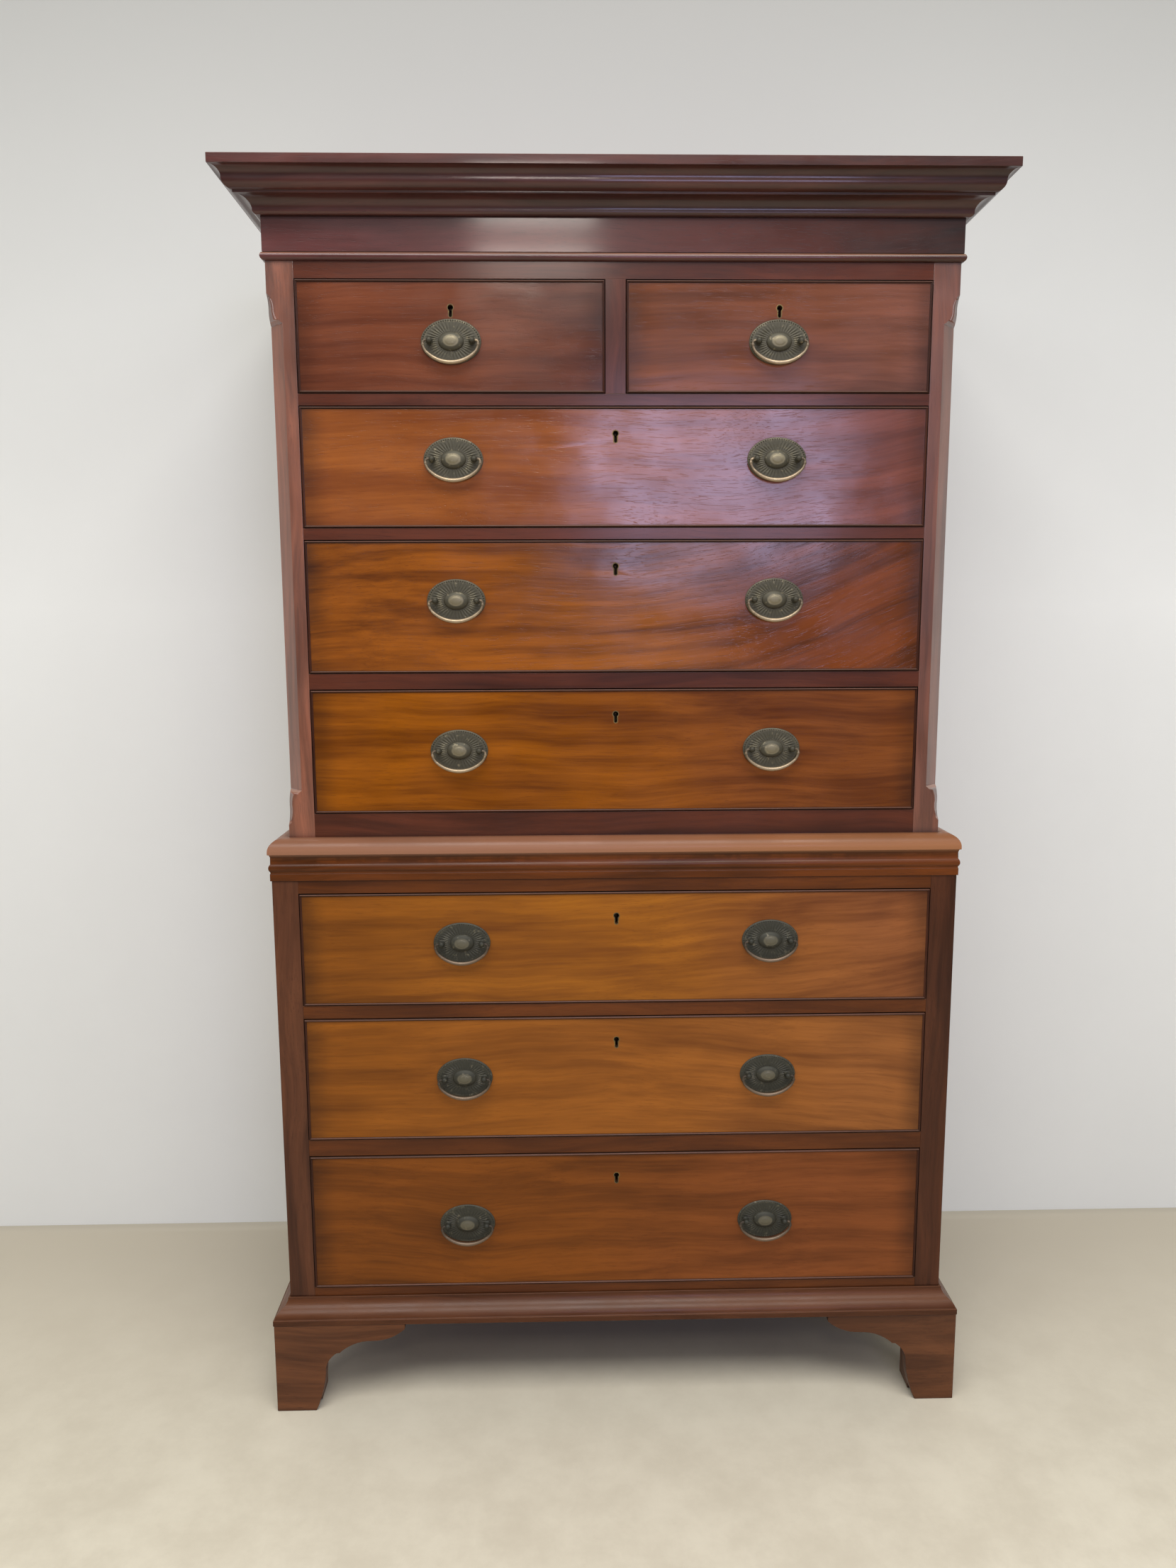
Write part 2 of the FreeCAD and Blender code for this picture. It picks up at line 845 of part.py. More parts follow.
def make_drawer(drawer):
    left, right, low, high = front_span(drawer)
    face = drawer.front
    inside = face + front_thickness
    end = back_y - back_board - rear_gap
    side_low = drawer.low + running_gap
    side_high = high - side_drop
    floor_low = side_low + bottom_rise
    floor_high = floor_low + drawer_bottom
    tip = face + front_lap
    rear = end - drawer_back
    back_high = side_high - back_drop

    left_tails = tails(left, left + drawer_side, inside, tip, side_low, side_high)
    right_tails = tails(right - drawer_side, right, inside, tip, side_low, side_high)
    trim = bead_thickness
    whole_front = box(left, right, face, inside, low, high)
    core = box(left + trim, right - trim, face, face + front_lap, low + trim, high - trim)
    rim = box(left, right, face, face + front_lap, low, high).cut(core)
    front_board = whole_front.cut(rim).cut(left_tails).cut(right_tails)

    groove_left = left + drawer_side - bottom_groove
    groove_right = right - drawer_side + bottom_groove
    floor_near = inside - bottom_groove
    if is_long(drawer):
        half_rib = bottom_muntin / 2
        lip = half_rib - bottom_groove
        floor_left = box(groove_left, -lip, floor_near, end, floor_low, floor_high)
        floors = [floor_left, mirrored(floor_left)]
        rib = box(-half_rib, half_rib, floor_near, end, floor_high - bottom_muntin_height, floor_high)
        rib = rib.cut(Part.makeCompound(floors))
        floors.append(rib)
    else:
        floors = [box(groove_left, groove_right, floor_near, end, floor_low, floor_high)]
    floor = Part.makeCompound(floors)
    front_board = front_board.cut(floor)

    rear_tails = [tails(left, left + drawer_side, rear, end, floor_high, back_high),
                  tails(right - drawer_side, right, rear, end, floor_high, back_high)]
    back = box(left, right, rear, end, floor_high, back_high)
    for tail in rear_tails:
        back = back.cut(tail)
    sides = []
    for x, tail in ((left, left_tails), (right - drawer_side, right_tails)):
        side = box(x, x + drawer_side, inside, end, side_low, side_high)
        side = side.fuse(list(tail.Solids)).removeSplitter()
        sides.append(side.cut(back).cut(floor))

    key_x, key_z = keyhole_centre(drawer)
    lock_zone = box(key_x - lock_width / 2, key_x + lock_width / 2, inside - lock_thickness, inside,
                    high - lock_height, high)
    front_board = front_board.cut(keyhole(key_x, key_z, face, 0, front_thickness))
    front_board = front_board.cut(keyhole(key_x, key_z, face, lining, lining_depth))
    front_board = front_board.cut(lock_zone)
    for post_x in post_places(drawer):
        bore = Part.makeCylinder(post_shank_radius + post_hole_gap, front_thickness,
                                 Vector(post_x, face, drawer.handle_level), Vector(0, 1, 0))
        front_board = front_board.cut(bore)

    write(drawer.name + "_front", [front_board] + cock_beads(drawer))
    write(drawer.name + "_box", sides + [back] + floors)
    make_brasses(drawer, lock_zone)
    write(drawer.name + "_lock_bolt", [lock_bolt(drawer)])
    for x in drawer.handles:
        suffix = "_bail" if len(drawer.handles) == 1 else ("_bail_left" if x < 0 else "_bail_right")
        write(drawer.name + suffix, [bail(x, face, drawer.handle_level)])


# ---------------------------------------------------------------------------
# Brasses and locks
# ---------------------------------------------------------------------------


def post_places(drawer):
    places = []
    for x in drawer.handles:
        places.extend((x - post_half_spacing, x + post_half_spacing))
    return places


def turned(outline, x, face, z):
    """Turn an outline drawn as (radius, distance out from the drawer face)."""
    section = outline.face(lambda r, h: Vector(x, face - h, z + r))
    return section.revolve(Vector(x, face, z), Vector(0, 1, 0), 360)


def plate(x, face, z):
    """A stamped oval back plate: border bead, flat field and domed boss."""
    radius = plate_half_width
    border = radius - plate_border
    step = plate_thickness
    field_back = plate_field_height - step
    dome = quarter_round / 2
    profile = Outline(0, boss_height - step)
    profile.arc(boss_radius - step, field_back, dome)
    profile.line(border, field_back)
    profile.line(radius - 2 * step, 0)
    profile.line(radius, 0)
    profile.line(radius, step)
    profile.arc(border, plate_field_height, -quarter_round)
    profile.line(boss_radius + boss_step, plate_field_height)
    profile.line(boss_radius, plate_field_height + boss_step)
    profile.arc(0, boss_height, -dome)
    round_plate = turned(profile, 0, 0, 0)
    squash = Matrix()
    squash.scale(1.0, 1.0, plate_half_height / plate_half_width)
    oval = round_plate.transformGeometry(squash)
    oval.translate(Vector(x, face, z))
    for side in (-post_half_spacing, post_half_spacing):
        bore = Part.makeCylinder(post_shank_radius + post_hole_gap, boss_height,
                                 Vector(x + side, face, z), Vector(0, -1, 0))
        oval = oval.cut(bore)
    return oval


def handle_post(x, face, z, outward):
    """A turned post through the drawer front, with a ball bored for the bail."""
    seat = plate_field_height
    collar = seat + plate_thickness
    ball = post_ball_radius
    neck = post_neck_radius
    ball_foot = pivot_proud - sqrt(ball ** 2 - neck ** 2)
    shank_end = -(front_thickness + nut_height + shank_past_nut)
    profile = Outline(0, shank_end)
    profile.line(post_shank_radius, shank_end)
    profile.line(post_shank_radius, seat)
    profile.line(post_collar_radius, seat)
    profile.line(post_collar_radius, collar)
    profile.arc(neck, ball_foot, shallow)
    profile.arc(ball, pivot_proud, -bow_of(acos(neck / ball)))
    profile.arc(0, pivot_proud + ball, -quarter_round)
    post = turned(profile, x, face, z)
    mouth = ball + running_gap
    bore_depth = running_gap + bail_pin_depth + bail_ball_gap
    bore = Part.makeCylinder(bail_pin_radius + bail_pin_gap, bore_depth,
                             Vector(x + outward * mouth, face - pivot_proud, z), Vector(-outward, 0, 0))
    return post.cut(bore)


def post_nut(x, face, z):
    inside = face + front_thickness
    half = nut_size / 2
    nut = box(x - half, x + half, inside, inside + nut_height, z - half, z + half)
    bore = Part.makeCylinder(post_shank_radius, nut_height, Vector(x, inside, z), Vector(0, 1, 0))
    return nut.cut(bore)


def arc_about(centre, start, end):
    """An arc from start to end about a centre, the short way round."""
    radius = (start - centre).Length
    toward = (start - centre) + (end - centre)
    through = centre + toward.normalize() * radius
    return Part.Arc(start, through, end).toShape()


def bail(x, face, z):
    """A drop handle: pins, bends and an oval bow of tangent arcs."""
    pivot = Vector(x, face - pivot_proud, z)
    inner = post_half_spacing + post_ball_radius + bail_ball_gap
    half_width = inner + bail_bend
    shoulder_x = half_width - bail_shoulder
    bow_span = bail_drop - bail_shoulder
    rise = (shoulder_x ** 2 + bail_bend ** 2 - bow_span ** 2) / (2 * (bow_span - bail_bend))
    bow_radius = rise + bail_drop
    slant = hypot(shoulder_x, rise + bail_bend)

    def at(u, v):
        return pivot + Vector(u, 0, v)

    join_x = bow_radius * shoulder_x / slant
    join_z = rise - bow_radius * (rise + bail_bend) / slant
    edges = []
    edges.append(arc_about(at(inner, -bail_bend), at(inner, 0), at(half_width, -bail_bend)))
    edges.append(arc_about(at(shoulder_x, -bail_bend), at(half_width, -bail_bend), at(join_x, join_z)))
    edges.append(arc_about(at(0, rise), at(join_x, join_z), at(-join_x, join_z)))
    edges.append(arc_about(at(-shoulder_x, -bail_bend), at(-join_x, join_z), at(-half_width, -bail_bend)))
    edges.append(arc_about(at(-inner, -bail_bend), at(-half_width, -bail_bend), at(-inner, 0)))
    path = Part.Wire(edges)
    section = Part.Wire(Part.makeCircle(bail_radius, at(inner, 0), Vector(1, 0, 0)))
    bow = path.makePipeShell([section], True, True)
    pin_reach = bail_pin_depth + bail_ball_gap
    for outward in (-1, 1):
        pin = Part.makeCylinder(bail_pin_radius, pin_reach, at(outward * inner, 0), Vector(-outward, 0, 0))
        bow = bow.fuse(pin)
    return bow


def bolt_zone(drawer, gap):
    """The lock bolt's own block, grown all round by a gap."""
    middle, key_z = keyhole_centre(drawer)
    top = drawer.high - top_gap - running_gap
    back = drawer.front + front_thickness - lock_back_wall
    half = bolt_width / 2 + gap
    top_reach = running_gap if gap else 0
    return box(middle - half, middle + half, back - bolt_thickness - gap, back + gap,
               key_z - bolt_below_key - gap, top + top_reach)


def lock_bolt(drawer):
    """The bolt, with the notch that clears the key pin and that the key lifts."""
    middle, key_z = keyhole_centre(drawer)
    body = bolt_zone(drawer, 0)
    notch = box(middle - key_radius, middle + key_radius, drawer.front, drawer.front + front_thickness,
                key_z - bolt_below_key, key_z - bolt_below_key + bolt_notch)
    return body.cut(notch)


def make_brasses(drawer, lock_zone):
    solids = []
    face = drawer.front
    level = drawer.handle_level
    for x in drawer.handles:
        solids.append(plate(x, face, level))
        for outward in (-1, 1):
            post_x = x + outward * post_half_spacing
            solids.append(handle_post(post_x, face, level, outward))
            solids.append(post_nut(post_x, face, level))
    key_x, key_z = keyhole_centre(drawer)
    ring = keyhole(key_x, key_z, face, lining, lining_depth).cut(keyhole(key_x, key_z, face, 0, lining_depth))
    solids.append(ring)
    case_front = face + front_thickness - lock_thickness
    case = lock_zone.cut(bolt_zone(drawer, bolt_gap))
    case = case.cut(keyhole(key_x, key_z, face, 0, front_thickness - lock_back_wall))
    pin = Part.makeCylinder(key_pin_radius, lock_thickness, Vector(key_x, case_front, key_z), Vector(0, 1, 0))
    solids.append(case.fuse(pin))
    write(drawer.name + "_brasses", solids)


# ---------------------------------------------------------------------------
# Build every node
# ---------------------------------------------------------------------------

drawers = lay_out_drawers()
lower_drawers = [drawer for drawer in drawers if drawer.front == lower_front]
upper_drawers = [drawer for drawer in drawers if drawer.front == upper_front]

os.makedirs("parts", exist_ok=True)
make_cornice()
make_frieze()
make_upper_posts()
make_upper_boards()
make_rails("upper_drawer_rails", upper_half, upper_front, upper_rails, upper_drawers)
make_dust_frame("upper_dust_frames", upper_half, upper_front, upper_rails, upper_drawers, upper_openings[-1])
write("upper_back_boards", back_boards(upper_half, lower_top, upper_top))
make_waist_moulding()
make_lower_boards()
make_rails("lower_drawer_rails", lower_half, lower_front, lower_rails, lower_drawers)
make_dust_frame("lower_dust_frames", lower_half, lower_front, lower_rails, lower_drawers, (None, None))
write("lower_back_boards", back_boards(lower_half, foot_height, lower_top))
make_base_moulding()
make_feet()
for drawer in drawers:
    make_drawer(drawer)
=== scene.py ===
# %% [markdown]
# # A mahogany chest on chest
#
# This lesson dresses a finished furniture frame: two cases of drawers, one on the other. The
# frame already holds every board, moulding, lock and handle at its true size. Here the wood gets
# its grain and soft edges, and the brass its stamped pattern and its age.

import json
from math import atan2, cos, pi, radians, sin, sqrt

import bmesh
import bpy
from mathutils import Matrix, Vector

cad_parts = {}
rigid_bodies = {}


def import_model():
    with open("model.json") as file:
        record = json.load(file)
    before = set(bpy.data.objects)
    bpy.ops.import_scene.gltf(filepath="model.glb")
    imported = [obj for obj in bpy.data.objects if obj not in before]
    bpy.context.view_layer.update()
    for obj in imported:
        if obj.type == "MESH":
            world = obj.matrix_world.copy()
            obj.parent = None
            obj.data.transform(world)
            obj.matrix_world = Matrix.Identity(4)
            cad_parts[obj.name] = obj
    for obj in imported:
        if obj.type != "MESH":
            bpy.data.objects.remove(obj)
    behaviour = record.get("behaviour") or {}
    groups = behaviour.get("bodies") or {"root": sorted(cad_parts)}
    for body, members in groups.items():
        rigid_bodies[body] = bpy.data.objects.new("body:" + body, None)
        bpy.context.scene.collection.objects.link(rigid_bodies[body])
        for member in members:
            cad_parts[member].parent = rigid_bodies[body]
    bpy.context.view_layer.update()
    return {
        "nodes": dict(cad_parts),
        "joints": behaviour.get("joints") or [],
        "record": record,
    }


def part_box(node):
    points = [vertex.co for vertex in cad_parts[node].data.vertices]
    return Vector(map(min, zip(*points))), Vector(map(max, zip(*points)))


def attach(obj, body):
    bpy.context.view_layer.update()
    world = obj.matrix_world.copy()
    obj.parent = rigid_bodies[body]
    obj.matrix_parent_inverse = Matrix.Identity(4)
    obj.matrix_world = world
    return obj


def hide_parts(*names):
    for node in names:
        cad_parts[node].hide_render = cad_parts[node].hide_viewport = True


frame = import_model()
scene = bpy.context.scene

# %% [markdown]
# ## The camera
#
# A tall chest seen from standing height, from a little left of its middle. A look-at camera would
# do, but its yaw, pitch and roll are known here, so the rotation is written from them and nothing
# is guessed by eye. The lens is given in pixels of the picture and turned into millimetres for a
# sensor that is 36 mm on its long side.

# %% Place the camera
PICTURE_HEIGHT, FOCAL_PIXELS, SENSOR = 2212, 1580.95, 36
CAMERA_PLACE = Vector((-0.08109, -1.94372, 1.27025))
YAW, PITCH, ROLL = -0.022256, 0.144059, -0.004075


def camera_turn(yaw, pitch, roll):
    """Turn of a camera that looks along +Y: left by yaw, down by pitch, then rolled."""
    right = Vector((cos(yaw), sin(yaw), 0))
    ahead = Vector((-sin(yaw), cos(yaw), 0))
    level = Vector((0, 0, 1))
    forward = ahead * cos(pitch) - level * sin(pitch)
    upward = ahead * sin(pitch) + level * cos(pitch)
    rolled_right = right * cos(roll) + upward * sin(roll)
    rolled_up = upward * cos(roll) - right * sin(roll)
    return Matrix((rolled_right, rolled_up, -forward)).transposed()


lens = bpy.data.cameras.new("camera")
lens.sensor_width = SENSOR
lens.lens = FOCAL_PIXELS * SENSOR / PICTURE_HEIGHT
camera = bpy.data.objects.new("camera", lens)
scene.collection.objects.link(camera)
turn = camera_turn(YAW, PITCH, ROLL).to_4x4()
camera.matrix_world = Matrix.Translation(CAMERA_PLACE) @ turn
scene.camera = camera
scene.view_settings.view_transform = "Standard"
print("lens", round(lens.lens, 2), "mm")

# %% [markdown]
# ## Small tools for node trees
#
# Shaders and geometry trees are both built from nodes and links, which are long to write out. A
# few helpers keep the later cells short. Most of them add one node, fill its inputs with values or
# with other nodes' outputs, and hand on what comes out of it. The last opens a group with named
# sockets.


# %% Node helpers
def hex_colour(text):
    """An sRGB colour such as 'a06030' as linear red, green, blue and alpha."""
    parts = [int(text[i:i + 2], 16) / 255 for i in (0, 2, 4)]
    return [p / 12.92 if p <= 0.04045 else ((p + 0.055) / 1.055) ** 2.4 for p in parts] + [1.0]


def fill(tree, node, sockets):
    """Give a node's inputs their values, or link them to other nodes' outputs."""
    for key, value in sockets.items():
        if isinstance(value, bpy.types.NodeSocket):
            tree.links.new(value, node.inputs[key])
        else:
            node.inputs[key].default_value = value


def add(tree, kind, sockets=None, **settings):
    """Add a node, set its properties, and fill its inputs."""
    node = tree.nodes.new(kind)
    for name, value in settings.items():
        setattr(node, name, value)
    fill(tree, node, sockets or {})
    return node


def sum_of(tree, operation, a, b):
    return add(tree, "ShaderNodeMath", {0: a, 1: b}, operation=operation).outputs[0]


def times(tree, a, b):
    return sum_of(tree, "MULTIPLY", a, b)


def plus(tree, a, b):
    return sum_of(tree, "ADD", a, b)


def vector_sum(tree, operation, a, b):
    return add(tree, "ShaderNodeVectorMath", {0: a, 1: b}, operation=operation).outputs[0]


def ramp(tree, value, low, high, to_low=0.0, to_high=1.0, smooth=True):
    """Map a value from one range to another, clamped, with an eased or straight slope."""
    limits = {0: value, 1: low, 2: high, 3: to_low, 4: to_high}
    kind = "SMOOTHSTEP" if smooth else "LINEAR"
    return add(tree, "ShaderNodeMapRange", limits, interpolation_type=kind).outputs[0]


def blend_colours(tree, factor, a, b, kind="MIX"):
    colours = {0: factor, 6: a, 7: b}
    return add(tree, "ShaderNodeMix", colours, data_type="RGBA", blend_type=kind).outputs[2]


def object_place(tree):
    return add(tree, "ShaderNodeTexCoord").outputs["Object"]


def split(tree, vector):
    """A vector's X, Y and Z."""
    return add(tree, "ShaderNodeSeparateXYZ", {0: vector}).outputs


def join(tree, x, y, z):
    return add(tree, "ShaderNodeCombineXYZ", {0: x, 1: y, 2: z}).outputs[0]


def cloud(tree, place, scale, detail, roughness=0.5):
    """Soft noise around one half. Scale counts its lumps per metre."""
    return add(tree, "ShaderNodeTexNoise", {"Vector": place, "Scale": scale, "Detail": detail,
                                            "Roughness": roughness}).outputs["Fac"]


def open_group(name, kind, inputs, outputs):
    """A node group. Inputs are given as (socket type, default), outputs as socket types."""
    tree = bpy.data.node_groups.new(name, kind)
    for label, (socket, default) in inputs.items():
        made = tree.interface.new_socket(label, in_out="INPUT", socket_type=socket)
        if default is not None:
            made.default_value = default
    for label, socket in outputs.items():
        tree.interface.new_socket(label, in_out="OUTPUT", socket_type=socket)
    given, result = tree.nodes.new("NodeGroupInput"), tree.nodes.new("NodeGroupOutput")
    return tree, given.outputs, result


print("a06030 in linear light:", hex_colour("a06030"))

# %% [markdown]
# ## Mahogany figure
#
# Mahogany shows long, slightly wandering streaks, broad soft patches where the fibres lean, and
# fine dark pores like pencil dashes. One shader group makes all three from stretched noise: the
# numbers below say how many lumps of noise fit in a metre, along the grain and then across it. The
# group is given a position whose first axis runs along the grain, and a number for each board, so
# that no two boards carry the same figure.

# %% The grain group
FLOAT, COLOUR, VECTOR = "NodeSocketFloat", "NodeSocketColor", "NodeSocketVector"
STREAK, FINE = (2.4, 40.0, 40.0), (5.0, 220.0, 220.0)
FLAME, PORE = (3.6, 11.0, 11.0), (26.0, 900.0, 900.0)
FINE_SHARE = 0.35
BOARD_STEP = (3.1, 7.7, 5.3)
WANDER_SCALE, WANDER = 2.3, (0.0, 0.07, 0.07)
PALEST, DARKEST = 1.1, 0.88


def build_grain_group():
    tree, given, result = open_group("wood figure", "ShaderNodeTree", {
        "Position": (VECTOR, None), "Board": (FLOAT, 0.0), "Light": (COLOUR, None),
        "Dark": (COLOUR, None), "Streaks": (FLOAT, 0.6), "Flame": (FLOAT, 0.4),
        "Pores": (FLOAT, 0.4)}, {"Colour": COLOUR, "Height": FLOAT})
    shift = vector_sum(tree, "MULTIPLY", given["Board"], BOARD_STEP)
    place = vector_sum(tree, "ADD", given["Position"], shift)
    wander = add(tree, "ShaderNodeTexNoise", {"Vector": place, "Scale": WANDER_SCALE,
                                              "Detail": 2.0}).outputs["Color"]
    bent = vector_sum(tree, "ADD", place, vector_sum(tree, "MULTIPLY", wander, WANDER))

    def stretched(lumps, detail, low, high, roughness=0.5):
        scaled = vector_sum(tree, "MULTIPLY", bent, lumps)
        return ramp(tree, cloud(tree, scaled, 1.0, detail, roughness), low, high)

    streak = stretched(STREAK, 4.0, 0.34, 0.66, 0.55)
    fine = stretched(FINE, 3.0, 0.32, 0.68)
    flame = stretched(FLAME, 3.0, 0.34, 0.68)
    pore = stretched(PORE, 1.0, 0.60, 0.70)
    streaked = times(tree, plus(tree, streak, times(tree, fine, FINE_SHARE)), given["Streaks"])
    total = plus(tree, streaked, times(tree, flame, given["Flame"]))
    most = plus(tree, times(tree, given["Streaks"], 1 + FINE_SHARE), given["Flame"])
    figure = sum_of(tree, "DIVIDE", total, most)
    wood = blend_colours(tree, figure, given["Dark"], given["Light"])
    tone = add(tree, "ShaderNodeTexWhiteNoise", {"W": given["Board"]}, noise_dimensions="1D")
    level = ramp(tree, tone.outputs["Value"], 0.0, 1.0, DARKEST, PALEST, smooth=False)
    grey = add(tree, "ShaderNodeCombineColor", {0: level, 1: level, 2: level}).outputs[0]
    toned = blend_colours(tree, 1.0, wood, grey, "MULTIPLY")
    pored = blend_colours(tree, times(tree, pore, given["Pores"]), toned, given["Dark"])
    height = sum_of(tree, "SUBTRACT", times(tree, fine, 0.4), pore)
    fill(tree, result, {"Colour": pored, "Height": height})
    return tree


grain_group = build_grain_group()
print("grain group:", len(grain_group.nodes), "nodes")

# %% [markdown]
# ## Two centuries of use, with painted shade and light
#
# Polish wears thin on arrises, and wax and dust darken every quirk and corner. Whatever faces up
# is made paler. The hollows are found with ambient occlusion, the arrises by asking how far a
# rounded normal turns from the true one, and the upper faces by their normal. The darkened hollows
# are partly dirt and partly painted shade, and the paler upward faces partly fading by sun and
# cloths and partly painted light from above. All are broken up by noise, and leave the group as
# masks, so every wood and brass can use them in its own colours.

# %% The age group
RUBBING_SCALE = 38.0


def build_age_and_light_group():
    tree, given, result = open_group("use, shade and light from above", "ShaderNodeTree", {
        "Reach": (FLOAT, 0.012), "Arris": (FLOAT, 0.003), "Patchiness": (FLOAT, 14.0)},
        {"Grime And Shade": FLOAT, "Wear": FLOAT, "Faded And Lit": FLOAT, "Patches": FLOAT})
    place = object_place(tree)
    # Darkened hollows: partly dirt, partly painted shade.
    hollow = add(tree, "ShaderNodeAmbientOcclusion", {"Distance": given["Reach"]}, samples=5)
    patches = cloud(tree, place, given["Patchiness"], 4.0)
    deep = ramp(tree, hollow.outputs["AO"], 0.25, 0.95, 1.0, 0.0)
    grime_and_shade = times(tree, deep, ramp(tree, patches, 0.25, 0.6, 0.55, 1.0))
    rounded = add(tree, "ShaderNodeBevel", {"Radius": given["Arris"]}, samples=4).outputs[0]
    true = add(tree, "ShaderNodeNewGeometry").outputs["Normal"]
    same = add(tree, "ShaderNodeVectorMath", {0: rounded, 1: true}, operation="DOT_PRODUCT")
    edge = ramp(tree, same.outputs["Value"], 0.80, 0.99, 1.0, 0.0)
    rubbed = ramp(tree, cloud(tree, place, RUBBING_SCALE, 3.0), 0.42, 0.62)
    wear = times(tree, times(tree, edge, rubbed), sum_of(tree, "SUBTRACT", 1.0, deep))
    # Paler upward faces: partly fading, partly painted light from above.
    upward = ramp(tree, split(tree, true)["Z"], 0.1, 0.75)
    faded_and_lit = times(tree, upward, ramp(tree, patches, 0.2, 0.7, 0.7, 1.0))
    fill(tree, result, {"Grime And Shade": grime_and_shade, "Wear": wear, "Faded And Lit": faded_and_lit, "Patches": patches})
    return tree


age_and_light_group = build_age_and_light_group()
print("age group:", len(age_and_light_group.nodes), "nodes")

# %% [markdown]
# ## Where the grain runs, and where colour changes
#
# A joiner lays the grain along each board, so a wood is made for each of the three directions. On
# the best fronts the figure also climbs towards the right end. Old wood is never one colour from
# end to end: a finish may have two or three colours that follow each other across the case, with a
# border that noise makes soft and uneven. These colours are partly the wood's own tone and partly
# painted light and reflection, as they fell across the chest. The ends of the drawer fronts are
# made a little darker.

# %% Grain and colour helpers
TURNED_TO = {"x": (0, 1, 2), "y": (1, 0, 2), "z": (2, 0, 1)}
CLIMB_FROM, CLIMB_TO = -0.12, 0.48
CASE_SPAN = (0.02, 0.62)
BORDER_SCALE, BORDER_SWAY = 2.6, 0.5
END_REACH = 0.045


def grain_position(tree, axis, rise):
    """Object coordinates, the grain along the first. It may climb to the right, in metres."""
    apart = split(tree, object_place(tree))
    position = join(tree, *[apart[order] for order in TURNED_TO[axis]])
    if not rise:
        return position
    x, y, z = split(tree, position)
    share = ramp(tree, x, CLIMB_FROM, CLIMB_TO, smooth=False)
    return join(tree, x, y, plus(tree, z, times(tree, times(tree, share, share), -rise)))


def across(tree, colours, span):
    """One colour, or several that follow each other from left to right over a span."""
    if isinstance(colours, str):
        return hex_colour(colours)
    # The colours that follow each other are partly the wood's own tone and partly painted light
    # and reflection.
    place = object_place(tree)
    sway = times(tree, cloud(tree, place, BORDER_SCALE, 3.0), BORDER_SWAY)
    lean = plus(tree, split(tree, place)["X"], sway)
    colour = hex_colour(colours[0])
    step = (span[1] - span[0]) / (len(colours) - 1)
    for index, following in enumerate(colours[1:]):
        begins = span[0] + index * step
        border = ramp(tree, lean, begins, begins + step)
        colour = blend_colours(tree, border, colour, hex_colour(following))
    return colour


def near_ends(tree, low, high):
    """A mask that rises towards both ends of a board that lies across the case."""
    along = split(tree, object_place(tree))["X"]
    left = ramp(tree, along, low, low + END_REACH, 1.0, 0.0)
    return sum_of(tree, "MAXIMUM", left, ramp(tree, along, high - END_REACH, high))


# %% [markdown]
# ## Polished and bare wood
#
# One function makes every wood. It asks the grain group for colour, lays wear, paler upward faces
# and darker hollows over it, and sets the polish. The paler faces are partly fading and partly
# painted light, and the darker hollows partly dirt and partly painted shade. French polish is a
# clear layer over the wood, so polished finishes get a coat. The bare insides of the drawers are
# oak, dry and rough.

# %% Make a wood
# Colour of the dirt and painted shade in hollows.
WOOD_GRIME_AND_SHADE = "1a0d08"
SMOOTHER, ROUGHER, DIRT_DULLS = 0.05, 0.08, 0.3
PALE_EDGE, PALE_LOSS = 0.005, 0.45
RIPPLE_SCALE = 6.0


def new_material(name):
    material = bpy.data.materials.new(name)
    material.use_nodes = True
    return material, material.node_tree, material.node_tree.nodes["Principled BSDF"]


